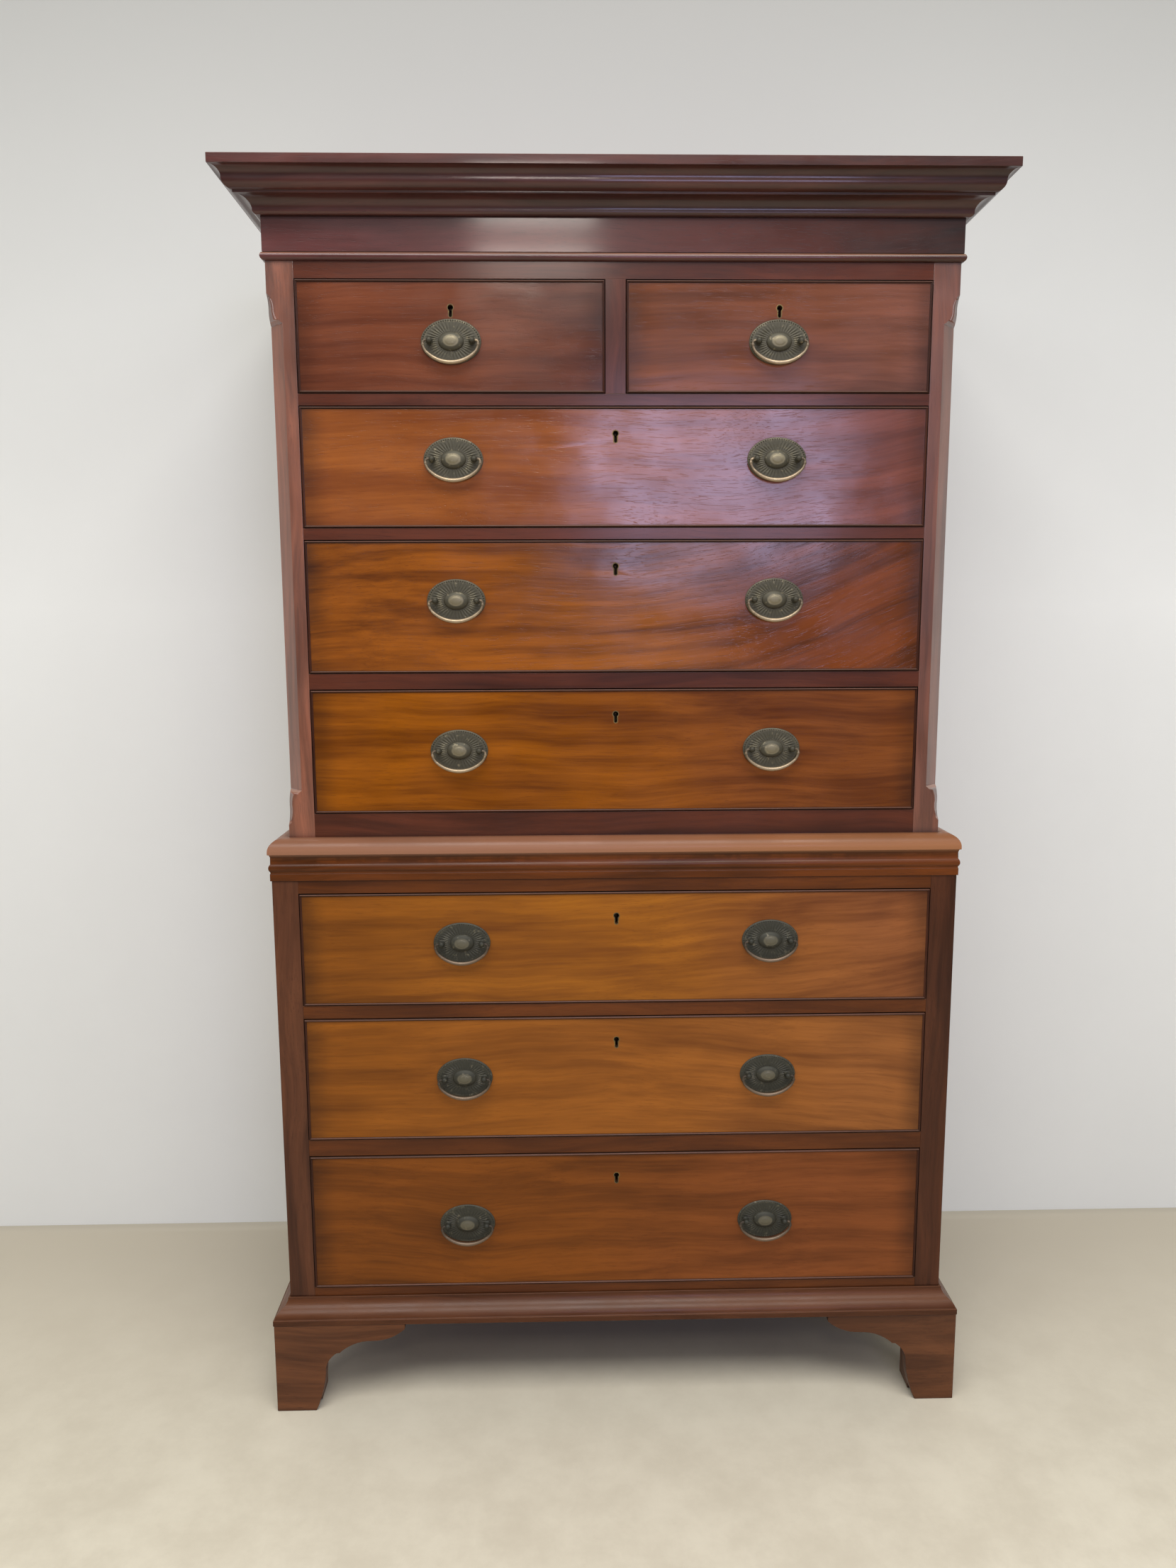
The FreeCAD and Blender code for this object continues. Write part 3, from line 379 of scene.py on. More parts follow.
def wood(name, axis, light, dark, polish=0.1, shine=0.2, roughness=0.34, gloss=0.2,
         streaks=0.6, flame=0.4, pores=0.4, relief=0.00004, ripple=0.0, rise=0.0,
         grime_and_shade=0.85, wear=0.35, pale_and_lit_colour="a47a60", pale_and_lit_share=0.5, pale_above=None, ends=None,
         span=CASE_SPAN):
    material, tree, shader = new_material(name + "_" + axis)
    position = grain_position(tree, axis, rise)
    board = add(tree, "ShaderNodeAttribute", attribute_name="board").outputs["Fac"]
    light_wood = across(tree, light, span)
    grain = add(tree, "ShaderNodeGroup", {
        "Light": light_wood, "Dark": across(tree, dark, span), "Streaks": streaks,
        "Flame": flame, "Pores": pores, "Position": position, "Board": board},
        node_tree=grain_group).outputs
    age_and_light = add(tree, "ShaderNodeGroup", node_tree=age_and_light_group).outputs
    colour = blend_colours(tree, times(tree, age_and_light["Wear"], wear), grain["Colour"], light_wood)
    # Paler upward faces, and the nosing's paler top band: partly fading, partly painted light.
    sunned_and_lit = age_and_light["Faded And Lit"]
    if pale_above:
        height = split(tree, object_place(tree))["Z"]
        upper = ramp(tree, height, pale_above, pale_above + PALE_EDGE)
        steady = sum_of(tree, "SUBTRACT", 1.0, times(tree, sunned_and_lit, PALE_LOSS))
        sunned_and_lit = times(tree, upper, steady)
    colour = blend_colours(tree, times(tree, sunned_and_lit, pale_and_lit_share), colour,
                           across(tree, pale_and_lit_colour, span))
    # Darker hollows: partly dirt, partly painted shade. The drawer fronts' ends are darker as
    # well.
    dirt_and_shade = age_and_light["Grime And Shade"]
    if ends:
        kept = times(tree, near_ends(tree, *ends), age_and_light["Patches"])
        dirt_and_shade = sum_of(tree, "MAXIMUM", dirt_and_shade, kept)
    colour = blend_colours(tree, times(tree, dirt_and_shade, grime_and_shade), colour, hex_colour(WOOD_GRIME_AND_SHADE))
    uneven = ramp(tree, age_and_light["Patches"], 0.3, 0.7, roughness - SMOOTHER, roughness + ROUGHER)
    dull = plus(tree, uneven, times(tree, age_and_light["Grime And Shade"], DIRT_DULLS))
    raised = times(tree, grain["Height"], relief)
    if ripple:
        swell = cloud(tree, position, RIPPLE_SCALE, 1.5)
        raised = plus(tree, raised, times(tree, swell, ripple))
    bump = add(tree, "ShaderNodeBump", {"Strength": 1.0, "Distance": 1.0, "Height": raised})
    fill(tree, shader, {"Base Color": colour, "Roughness": dull, "Normal": bump.outputs[0],
                        "Specular IOR Level": gloss, "Coat Weight": polish,
                        "Coat Roughness": shine})
    return material


# %% [markdown]
# ## The woods of the case
#
# A table keeps the finishes side by side, where they are easy to compare, and leaves out what a
# wood shares with the rest. Light and dark are the two ends of the figure, and a pair is the left
# and right of the case. The cornice and frieze kept their dark, shiny polish, and the plainer
# parts below are dull. The corner posts are paler, partly painted light on their bright, glossy
# cants.
# The tops of the waist and base mouldings are paler, partly worn by two centuries of dusting and
# partly painted light from above. The cock beads are dark, partly painted shade for the shadow
# lines along the drawers' gaps.

# %% The woods
WOODS = {
    "case_mahogany": dict(light=("6a3f28", "502b18"), dark=("381d12", "2c1409"), polish=0.07),
    "side_mahogany": dict(light="7c462a", dark="472412", flame=0.55),
    "rail_mahogany": dict(light="66340f", dark="3c1a05"),
    "upper_rail_mahogany": dict(light="5c2c1a", dark="34150b", polish=0.35, shine=0.15),
    "top_mahogany": dict(light=("5a2e28", "50281e"), dark=("321512", "2c120d"), polish=0.5,
                         gloss=0.3, shine=0.1),
    "frieze_mahogany": dict(light=("623230", "4c2010"), dark=("341614", "200c05"), polish=0.5,
                            gloss=0.3, shine=0.1, streaks=0.35, flame=0.9),
    # Paler posts: partly painted light on the bright, glossy cants.
    "lit_post_mahogany": dict(light=("945840", "7a4836"), dark=("522e20", "44261c"), polish=1.0,
                          gloss=0.5, shine=0.12),
    "foot_mahogany": dict(light="6e4226", dark="3c1f10", gloss=0.25),
    # The nosing's paler top: partly worn, partly painted light from above.
    "nosing_mahogany": dict(light="6c360e", dark="3e1c02", polish=0.05, wear=0.6,
                            pale_and_lit_colour=("91664e", "976644"), pale_and_lit_share=0.9, pale_above=0.914),
    # The base moulding's paler top: partly worn, partly painted light from above.
    "base_mahogany": dict(light="58321c", dark="32180a", polish=0.05, wear=0.5,
                          pale_and_lit_colour="704628", pale_and_lit_share=0.4),
    # Dark cock beads: partly painted shade for the shadow lines along the gaps.
    "shaded_bead_mahogany": dict(light="4c281a", dark="2c140c", streaks=0.3, flame=0.3, wear=0.15,
                          pale_and_lit_share=0.2),
    "bare_oak": dict(light="b08a5c", dark="7c5a36", polish=0.0, roughness=0.7, streaks=0.7,
                     flame=0.2, pores=0.5, grime_and_shade=0.6, wear=0.1, pale_and_lit_share=0.0, relief=0.00012),
}
woods = {name: {axis: wood(name, axis, **look) for axis in "xyz"} for name, look in WOODS.items()}
print("woods:", len(woods), "in three directions each")

# %% [markdown]
# ## Veneers for the drawer fronts
#
# The fronts were cut from showier wood than the case, and the light of two centuries has faded
# the lower ones to orange brown while the top row stayed dull and red. Each drawer has its own
# colours from left to right, its own shine, and where the figure climbs, its own rise. The mauve
# toward the right of the top fronts is partly painted reflection of the window in the polish. A
# very slow ripple in the surface breaks up reflections, as old hand-laid veneer does.

# %% Veneer materials
# The mauve right-hand colours of the top fronts are partly painted reflection of the window.
VENEERS = {
    "short_drawer_left": dict(light=("7a442c", "603626"), dark=("50281a", "3e2015"),
                              roughness=0.18, gloss=0.25, span=(-0.1, 0.25)),
    "short_drawer_right": dict(light=("76401e", "7c4e40"), dark=("4e2812", "543429"),
                               roughness=0.18, gloss=0.25, span=(0.2, 0.75)),
    "upper_drawer_1": dict(light=("965420", "7a4438"), dark=("66300f", "502c26"),
                           roughness=0.14, gloss=0.6, rise=0.04),
    "upper_drawer_2": dict(light=("a05810", "9d591e", "7c3c10"),
                           dark=("4e2202", "4e2608", "3a1903"),
                           roughness=0.15, gloss=0.5, rise=0.14, span=(0.0, 0.56)),
    "upper_drawer_3": dict(light=("9a560a", "884c20"), dark=("562800", "50260e"),
                           roughness=0.33, gloss=0.15),
    "lower_drawer_1": dict(light=("884e10", "9e6017", "8b532c"),
                           dark=("572e06", "68380e", "5b3017"),
                           rise=0.05, span=(-0.2, 0.7)),
    "lower_drawer_2": dict(light=("985814", "a16020", "9c602e"),
                           dark=("633508", "6a3a10", "653819"),
                           rise=-0.03, span=(-0.2, 0.7)),
    "lower_drawer_3": dict(light=("844810", "844820"), dark=("502804", "52280c")),
}
veneers = {}
for drawer, look in VENEERS.items():
    ends = [corner[0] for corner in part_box(drawer + "_front")]
    veneers[drawer] = wood(drawer + "_veneer", "x", streaks=0.7, flame=0.5, pores=0.3, polish=0.0,
                           ripple=0.0025, ends=ends, **look)
print("wood materials:", len(bpy.data.materials))

# %% [markdown]
# ## Brass and steel
#
# The plates and bails are thin stamped and cast brass that nobody has polished for a long time:
# green grey in the hollows, with a warm shine only where hands rub them. A metal's colour is its
# reflection, so the patina lowers Metallic as well as the colour. Where hands reach is known when
# a piece is made, so the pieces carry it as an attribute, "rubbed", and the material reads it.

# %% Metal materials
# Colour of the dirt and painted shade in a metal's hollows.
METAL_GRIME_AND_SHADE = "241c12"
MOTTLE_SCALE, MOTTLE_DEPTH = 160.0, 0.0001
SMALL_AGE_AND_SHADE = {"Reach": 0.006, "Arris": 0.0012, "Patchiness": 60.0}
BARE_METALLIC, COVERED_METALLIC, PATINA_DULLS = 0.72, 0.42, 0.22
RUBBED_BARE, DIRT_AND_SHADE_COVERS = 0.85, 0.8
METALS = {
    "plate_brass": ("a89c7e", "3e3b2f", 0.9, 0.36),
    "bail_brass": ("b8a384", "50463a", 0.7, 0.36),
    "dull_plate_brass": ("8a836e", "313129", 0.9, 0.4),
    "dull_bail_brass": ("86725e", "322d26", 0.8, 0.4),
    "lock_brass": ("9c8148", "5c4a2c", 0.8, 0.4),
    "bolt_steel": ("8c8a86", "4c4038", 0.7, 0.4),
}


def old_metal(name, bright, patina, cover, roughness):
    """Metal under a broken coat of patina: cover is the share of the surface that it hides."""
    material, tree, shader = new_material(name)
    mottle = cloud(tree, object_place(tree), MOTTLE_SCALE, 4.0)
    age_and_light = add(tree, "ShaderNodeGroup", SMALL_AGE_AND_SHADE, node_tree=age_and_light_group).outputs
    spread = ramp(tree, mottle, 0.62 - cover * 0.5, 0.78 - cover * 0.4, 0.25, 1.0)
    hidden = sum_of(tree, "MAXIMUM", spread, age_and_light["Grime And Shade"])
    rubbed = add(tree, "ShaderNodeAttribute", attribute_name="rubbed").outputs["Fac"]
    touched = sum_of(tree, "MAXIMUM", age_and_light["Wear"], rubbed)
    bare = sum_of(tree, "SUBTRACT", 1.0, times(tree, touched, RUBBED_BARE))
    film = times(tree, hidden, bare)
    coloured = blend_colours(tree, film, hex_colour(bright), hex_colour(patina))
    # Hollows darkened: partly dirt, partly painted shade.
    grimed_and_shaded = blend_colours(tree, times(tree, age_and_light["Grime And Shade"], DIRT_AND_SHADE_COVERS), coloured,
                         hex_colour(METAL_GRIME_AND_SHADE))
    metallic = ramp(tree, film, 0.0, 1.0, BARE_METALLIC, COVERED_METALLIC, smooth=False)
    dull = ramp(tree, film, 0.0, 1.0, roughness, roughness + PATINA_DULLS, smooth=False)
    bump = add(tree, "ShaderNodeBump", {"Strength": 0.3, "Distance": MOTTLE_DEPTH,
                                        "Height": mottle}).outputs[0]
    fill(tree, shader, {"Base Color": grimed_and_shaded, "Metallic": metallic, "Roughness": dull,
                        "Normal": bump})
    return material


metals = {name: old_metal(name, *look) for name, look in METALS.items()}
print("metals:", ", ".join(metals))

# %% [markdown]
# ## Boards out of the frame
#
# A node of the frame may hold many boards that touch face to face. Its triangles are stored board
# by board, and a board is a closed surface: every edge is walked once each way. So the triangles
# are counted off until no edge is left unmatched, and that is one board. Merging by distance
# instead would weld neighbours together.


# %% Split a node into its boards
def key_of(point):
    return tuple(round(c, 6) for c in point)


def triangles_of(mesh):
    """Corner coordinates of every triangle that is more than a line."""
    found = [[key_of(mesh.vertices[i].co) for i in face.vertices] for face in mesh.polygons]
    return [corners for corners in found if len(set(corners)) == 3]


def boards_of(mesh):
    """Lists of triangles, each a closed solid."""
    open_edges, boards, current = {}, [], []
    for corners in triangles_of(mesh):
        current.append(corners)
        for a, b in zip(corners, corners[1:] + corners[:1]):
            if open_edges.get((b, a)):
                open_edges[(b, a)] -= 1
                if not open_edges[(b, a)]:
                    del open_edges[(b, a)]
            else:
                open_edges[(a, b)] = open_edges.get((a, b), 0) + 1
        if not open_edges:
            boards.append(current)
            current = []
    return boards


def extent(board):
    """Lowest corner, size and longest axis of a board."""
    apart = list(zip(*[corner for face in board for corner in face]))
    low = Vector([min(along) for along in apart])
    size = Vector([max(along) for along in apart]) - low
    return low, size, "xyz"[list(size).index(max(size))]


cornice = boards_of(frame["nodes"]["cornice_moulding"].data)
print("cornice:", len(cornice), "sticks, along", [extent(board)[2] for board in cornice])

# %% [markdown]
# ## Easing the edges
#
# No arris on old furniture is razor sharp, and the thin line of light along an eased edge is what
# makes a drawing look like wood. Each board is welded, its flat triangles dissolved into whole
# faces, and its long sharp edges get a small round. Short edges, such as a dovetail's or a
# keyhole's, keep their crisp corners.

# %% Weld and ease a board
SHORTEST_EASED = 0.006
FLAT, SHARP = radians(0.6), radians(30)


def weld(board):
    mesh = bmesh.new()
    corners = {}
    for face in board:
        points = []
        for corner in face:
            if corner not in corners:
                corners[corner] = mesh.verts.new(corner)
            points.append(corners[corner])
        if mesh.faces.get(points) is None:
            mesh.faces.new(points)
    mesh.normal_update()
    return mesh


def is_sharp(edge):
    return (len(edge.link_faces) == 2 and edge.calc_length() > SHORTEST_EASED
            and edge.calc_face_angle() > SHARP)


def ease_edges(mesh, radius):
    bmesh.ops.dissolve_limit(mesh, angle_limit=FLAT, verts=mesh.verts, edges=mesh.edges)
    bmesh.ops.bevel(mesh, geom=[edge for edge in mesh.edges if is_sharp(edge)], offset=radius,
                    offset_type="OFFSET", segments=2, profile=0.5, affect="EDGES",
                    clamp_overlap=False)


# %% [markdown]
# ## From boards to a shown piece
#
# The eased boards of a node are joined into one object, which takes the node's place: it moves
# with the same body, and the node is hidden. Every face remembers its board's number, so that the
# grain group can give each board its own figure, and the grain runs along the board's longest
# side, as a joiner would cut it.

# %% Gather boards into a piece
BOARD_DRIFT = 0.37
record = frame["record"]
body_of_node = {node: body for body, nodes in record["behaviour"]["bodies"].items()
                for node in nodes}


def show(name, data):
    piece = bpy.data.objects.new(name, data)
    scene.collection.objects.link(piece)
    return piece


def gather(name, parts, materials, smooth_below):
    """Join finished parts, given as (bmesh, material, board number), into one object."""
    whole = bmesh.new()
    number = whole.faces.layers.float.new("board")
    whole.verts.layers.float.new("rubbed")
    for part, material, board_number in parts:
        part_mesh = bpy.data.meshes.new("part")
        part.to_mesh(part_mesh)
        part.free()
        start = len(whole.faces)
        whole.from_mesh(part_mesh)
        bpy.data.meshes.remove(part_mesh)
        whole.faces.ensure_lookup_table()
        for face in whole.faces[start:]:
            face.material_index = materials.index(material)
            face[number] = board_number
            face.smooth = True
    mesh = bpy.data.meshes.new(name)
    whole.to_mesh(mesh)
    whole.free()
    for material in materials:
        mesh.materials.append(material)
    mesh.set_sharp_from_angle(angle=radians(smooth_below))
    return show(name, mesh)


def stand_for(piece, node):
    """Let a finished piece take a node's place: same body, and the node hidden."""
    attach(piece, body_of_node[node])
    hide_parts(node)


def work_wood(node, finish, radius):
    """Replace a node by its boards with eased edges. finish(axis, size) picks each wood."""
    parts, used = [], []
    for index, board in enumerate(boards_of(frame["nodes"][node].data)):
        low, size, axis = extent(board)
        material = finish(axis, size)
        if material not in used:
            used.append(material)
        mesh = weld(board)
        ease_edges(mesh, radius)
        parts.append((mesh, material, float(index + 1) + BOARD_DRIFT * low.z))
    piece = gather("worked_" + node, parts, used, smooth_below=50)
    weighted = piece.modifiers.new("flat faces stay flat", "WEIGHTED_NORMAL")
    weighted.keep_sharp = True
    stand_for(piece, node)
    print(node, len(parts), "boards,", len(piece.data.polygons), "faces")


# %% [markdown]
# ## The two cases
#
# Everything that shows on the outside of the cases is mahogany. The broad sides are told from the
# stiles by their depth, and get a plainer, warmer board. The dust frames and back boards behind it
# are oak, with almost no easing, because nobody took the trouble. The last number of each row is
# the radius of its eased edges.

# %% Work the case
SIDE_DEPTH, OAK_EASE = 0.3, 0.0004


def plain(name):
    return lambda axis, size: woods[name][axis]


def case_finish(axis, size):
    broad = size.y > SIDE_DEPTH and axis == "z"
    return woods["side_mahogany" if broad else "case_mahogany"][axis]


CASE_PIECES = (
    ("cornice_moulding", plain("top_mahogany"), 0.0006),
    ("frieze_and_bead", plain("frieze_mahogany"), 0.0004),
    ("canted_corner_posts", plain("lit_post_mahogany"), 0.0006),
    ("upper_drawer_rails", plain("upper_rail_mahogany"), 0.0004),
    ("upper_case_boards", case_finish, 0.0005),
    ("waist_moulding", plain("nosing_mahogany"), 0.0006),
    ("lower_drawer_rails", plain("rail_mahogany"), 0.0004),
    ("lower_case_boards", case_finish, 0.0005),
    ("base_moulding", plain("base_mahogany"), 0.0007),
    ("bracket_feet", plain("foot_mahogany"), 0.0010),
)
for node, finish, radius in CASE_PIECES:
    work_wood(node, finish, radius)
for node in ("upper_dust_frames", "lower_dust_frames", "upper_back_boards", "lower_back_boards"):
    work_wood(node, plain("bare_oak"), OAK_EASE)

# %% [markdown]
# ## The drawers
#
# A drawer front is one thick board with four thin cock beads let into its edges. The beads are
# told from the board by their thickness. Behind it the sides, back and bottom are bare oak. The
# lock bolts have the right shape already, so they only get their steel.

# %% Work the drawers
BEAD_THICKNESS, FRONT_EASE = 0.01, 0.0003
drawers = sorted(VENEERS)


def front_finish(drawer):
    def finish(axis, size):
        is_bead = min(size) < BEAD_THICKNESS
        return woods["shaded_bead_mahogany"][axis] if is_bead else veneers[drawer]
    return finish


for drawer in drawers:
    work_wood(drawer + "_front", front_finish(drawer), FRONT_EASE)
    work_wood(drawer + "_box", plain("bare_oak"), OAK_EASE)
    for place in frame["nodes"][drawer + "_lock_bolt"].material_slots:
        place.material = metals["bolt_steel"]

# %% [markdown]
# ## Where the handles hang
#
# Every bail turns on a hinge of the frame, so the hinges say where the handles are. A hinge lies a
# set distance in front of the drawer's face.

# %% Read the handles' places
PIVOT_PROUD = 0.0105
handles = {}
for joint in frame["joints"]:
    if joint["type"] == "hinge":
        x, y, z = joint["pos_m"]
        place = Vector((x, y + PIVOT_PROUD, z))
        handles.setdefault(joint["parent"], []).append((joint["child"], place))
print("handles:", sum(len(found) for found in handles.values()), "on", len(handles), "drawers")


def brass_of(drawer, kind):
    """The lower drawers' handles have lost more of their colour than the upper ones'."""
    return metals["dull_" + kind if drawer.startswith("lower") else kind]


# %% [markdown]
# ## Stamped oval plates
#
# A back plate was pressed from sheet brass: a bead border, a band of radiating flutes and a domed
# boss that stands through the bail. Its section is one curve from the middle to the rim. It is
# swept round an ellipse, and the flutes are a cosine of the angle that fades out at both ends of
# the band.

# %% Make one plate
PLATE_HALF = (0.044, 0.032)
BOSS_SHARE, BORDER_SHARE = 0.43, 0.86
BOSS_FOOT, BOSS_RISE, BOSS_FULLNESS = 0.0028, 0.0060, 1.3
RING_SHARE, RING_HALF, RING_DEPTH = 0.20, 0.03, 0.0004
BAND_HEIGHT, BAND_SLOPE = 0.0020, 0.0004
FLUTES, FLUTE_DEPTH, FLUTE_FADE = 40, 0.00045, 0.7
BORDER_RISE, RIM_HEIGHT = 0.0018, 0.0002
DOME_SHARE = 0.26
PLATE_STEPS = 160
PLATE_RINGS = (0.06, 0.12, 0.17, 0.20, 0.23, 0.28, 0.33, 0.37, 0.40, 0.42, 0.43, 0.46, 0.52, 0.60,
               0.68, 0.76, 0.82, 0.855, 0.87, 0.90, 0.94, 0.97, 0.99, 1.0)


def plate_height(t, angle):
    """Height of the plate's face at a share t of the way to the rim."""
    if t < BOSS_SHARE:
        dome = BOSS_RISE * sqrt(max(0.0, 1 - (t / BOSS_SHARE) ** 2)) ** BOSS_FULLNESS
        ring = RING_DEPTH * max(0.0, 1 - abs(t - RING_SHARE) / RING_HALF)
        return BOSS_FOOT + dome - ring
    if t < BORDER_SHARE:
        share = (t - BOSS_SHARE) / (BORDER_SHARE - BOSS_SHARE)
        flute = FLUTE_DEPTH * cos(FLUTES * angle) * sin(pi * share) ** FLUTE_FADE
        return BAND_HEIGHT + BAND_SLOPE * (1 - share) + flute
    share = (t - BORDER_SHARE) / (1 - BORDER_SHARE)
    return BORDER_RISE * sqrt(max(0.0, 1 - share ** 2)) + RIM_HEIGHT


def plate_rubbing(t):
    """Hands polish the dome most, the border a little, and hardly reach the flutes."""
    return 0.5 if t < DOME_SHARE else 0.12 if t > BORDER_SHARE else 0.05


def make_plate():
    mesh = bmesh.new()
    rubbed = mesh.verts.layers.float.new("rubbed")
    middle = mesh.verts.new((0, -plate_height(0, 0), 0))
    middle[rubbed] = plate_rubbing(0)
    rings = []
    for t in PLATE_RINGS:
        ring = []
        for step in range(PLATE_STEPS):
            angle = 2 * pi * step / PLATE_STEPS
            ring.append(mesh.verts.new((PLATE_HALF[0] * t * cos(angle), -plate_height(t, angle),
                                        PLATE_HALF[1] * t * sin(angle))))
            ring[-1][rubbed] = plate_rubbing(t)
        rings.append(ring)
    rings.append([mesh.verts.new((v.co.x, 0, v.co.z)) for v in rings[-1]])
    for step in range(PLATE_STEPS):
        after = (step + 1) % PLATE_STEPS
        mesh.faces.new((middle, rings[0][step], rings[0][after]))
        for inner, outer in zip(rings, rings[1:]):
            mesh.faces.new((inner[step], outer[step], outer[after], inner[after]))
    mesh.faces.new(rings[-1][::-1])
    bmesh.ops.recalc_face_normals(mesh, faces=mesh.faces)
    data = bpy.data.meshes.new("plate_pattern")
    mesh.to_mesh(data)
    mesh.free()
    data.shade_smooth()
    data.set_sharp_from_angle(angle=radians(40))
    return bpy.data.objects.new("plate_pattern", data)


plate_pattern = make_plate()
print("plate:", len(plate_pattern.data.polygons), "faces")

# %% [markdown]
# ## A plate with its pearls, wherever a handle hangs
#
# Small pearls run round the border of every plate. Placing them by hand would be slow and uneven,
# so a geometry tree does it: it spaces points along an ellipse, puts a pearl on each, adds the
# stamped plate, and copies the lot to every handle point of a drawer. Changing one number changes
# every plate.

# %% The plate tree
GEOMETRY, WHOLE, FINISH = "NodeSocketGeometry", "NodeSocketInt", "NodeSocketMaterial"


def stage_of(tree, kind, sockets, **settings):
    """Add one step of a geometry tree and hand on what comes out of it."""
    return add(tree, "GeometryNode" + kind, sockets, **settings).outputs[0]


def finish_tree(tree, geometry, material, result):
    """End a tree with real geometry in its finish."""
    real = stage_of(tree, "RealizeInstances", {"Geometry": geometry})
    made = stage_of(tree, "SetMaterial", {"Geometry": real, "Material": material})
    fill(tree, result, {"Geometry": made})


def build_plate_tree():
    tree, given, result = open_group("pearled plates", "GeometryNodeTree", {
        "Handle Points": (GEOMETRY, None), "Half Width": (FLOAT, 0.0415),
        "Half Height": (FLOAT, 0.0295), "Pearl Radius": (FLOAT, 0.0011), "Pearls": (WHOLE, 64),
        "Proud": (FLOAT, 0.0018), "Pattern": ("NodeSocketObject", None),
        "Finish": (FINISH, None)}, {"Geometry": GEOMETRY})
    circle = stage_of(tree, "CurvePrimitiveCircle", {"Resolution": 128, "Radius": 1.0})
    squash = join(tree, given["Half Width"], given["Half Height"], 1.0)
    oval = stage_of(tree, "Transform", {"Geometry": circle, "Scale": squash})
    upright = stage_of(tree, "Transform", {"Geometry": oval, "Rotation": (pi / 2, 0, 0)})
    even = stage_of(tree, "ResampleCurve", {"Curve": upright, "Count": given["Pearls"]})
    points = stage_of(tree, "CurveToPoints", {"Curve": even}, mode="EVALUATED")
    pearl = stage_of(tree, "MeshIcoSphere", {"Radius": given["Pearl Radius"], "Subdivisions": 2})
    row = stage_of(tree, "InstanceOnPoints", {"Points": points, "Instance": pearl})
    forward = join(tree, 0.0, times(tree, given["Proud"], -1.0), 0.0)
    raised = stage_of(tree, "Transform", {"Geometry": row, "Translation": forward})
    stamped = add(tree, "GeometryNodeObjectInfo", {"Object": given["Pattern"]})
    joined = add(tree, "GeometryNodeJoinGeometry")
    tree.links.new(raised, joined.inputs[0])
    tree.links.new(stamped.outputs["Geometry"], joined.inputs[0])
    copies = stage_of(tree, "InstanceOnPoints", {"Points": given["Handle Points"],
                                                 "Instance": joined.outputs[0]})
    finish_tree(tree, copies, given["Finish"], result)
    return tree


def grow(name, seed, tree, **sizes):
    """Run a geometry tree on a seed mesh and return the result as a plain mesh object."""
    carrier = show(name + "_carrier", seed)
    modifier = carrier.modifiers.new("tree", "NODES")
    modifier.node_group = tree
    sockets = {item.name: item.identifier for item in tree.interface.items_tree
               if item.item_type == "SOCKET" and item.in_out == "INPUT"}
    for label, value in sizes.items():
        modifier[sockets[label.title()]] = value
    graph = bpy.context.evaluated_depsgraph_get()
    mesh = bpy.data.meshes.new_from_object(carrier.evaluated_get(graph))
    mesh.name = name
    bpy.data.objects.remove(carrier)
    bpy.data.meshes.remove(seed)
    return show(name, mesh)


plate_tree = build_plate_tree()
print("plate tree:", len(plate_tree.nodes), "nodes")

# %% [markdown]
# ## Posts, nuts, keyhole linings and locks
#
# The frame holds these in the same node as the plates. They share no corners with each other, so
# triangles that share a corner belong together: each corner is given a leader, and leaders that
# meet are merged. The frame's plates are told by their width and left out, because the stamped
# ones take their place. The rest is turned and cut metal whose shape is right, so it is welded and
# kept. Lock cases are told by their width too, and the keyholes' linings by their shallow depth.

# %% Fit the brasses
LOCK_WIDTH, LINING_DEPTH, SAME_WIDTH = 0.062, 0.006, 0.001


def separate_parts(mesh):
    """Lists of triangles that hang together by their corners."""
    leader, triangles = {}, triangles_of(mesh)

    def lead(corner):
        while leader.setdefault(corner, corner) != corner:
            leader[corner] = leader[leader[corner]]
            corner = leader[corner]
        return corner

    for first, *others in triangles:
        for corner in others:
            leader[lead(corner)] = lead(first)
    parts = {}
    for corners in triangles:
        parts.setdefault(lead(corners[0]), []).append(corners)
    return list(parts.values())


def grow_plates(drawer, brass):
    seed = bpy.data.meshes.new("plates_seed")
    seed.from_pydata([tuple(place) for bail, place in handles[drawer]], [], [])
    plates = grow("plates", seed, plate_tree, pattern=plate_pattern, finish=brass)
    grown = bmesh.new()
    grown.from_mesh(plates.data)
    bpy.data.objects.remove(plates)
    return grown


for drawer in drawers:
    node = drawer + "_brasses"
    brass, lock_brass = brass_of(drawer, "plate_brass"), metals["lock_brass"]
    found = separate_parts(frame["nodes"][node].data)
    parts = []
    for part in found:
        low, size, axis = extent(part)
        if abs(size.x - 2 * PLATE_HALF[0]) > SAME_WIDTH:
            is_lock = size.x > LOCK_WIDTH or size.y < LINING_DEPTH
            parts.append((weld(part), lock_brass if is_lock else brass, 1.0))
    plates = len(found) - len(parts)
    parts.append((grow_plates(drawer, brass), brass, 1.0))
    piece = gather("fitted_" + node, parts, [brass, lock_brass], smooth_below=40)
    stand_for(piece, node)
    most = max(item.value for item in piece.data.attributes["rubbed"].data)
    print(node, len(found), "parts,", plates, "plates,", len(piece.data.polygons),
          "faces, rubbed up to", round(most, 2))

# %% [markdown]
# ## Drop bails
#
# A bail is cast, then bent: thin where its pins enter the posts, with a small turned collar beside
# each, and swelling to the middle, where the hand pulls. It follows a path, so a geometry tree
# sweeps a round section along the path and reads the thickness at each point from an attribute.
# Half of the path is worked out, and the other half is its mirror image.

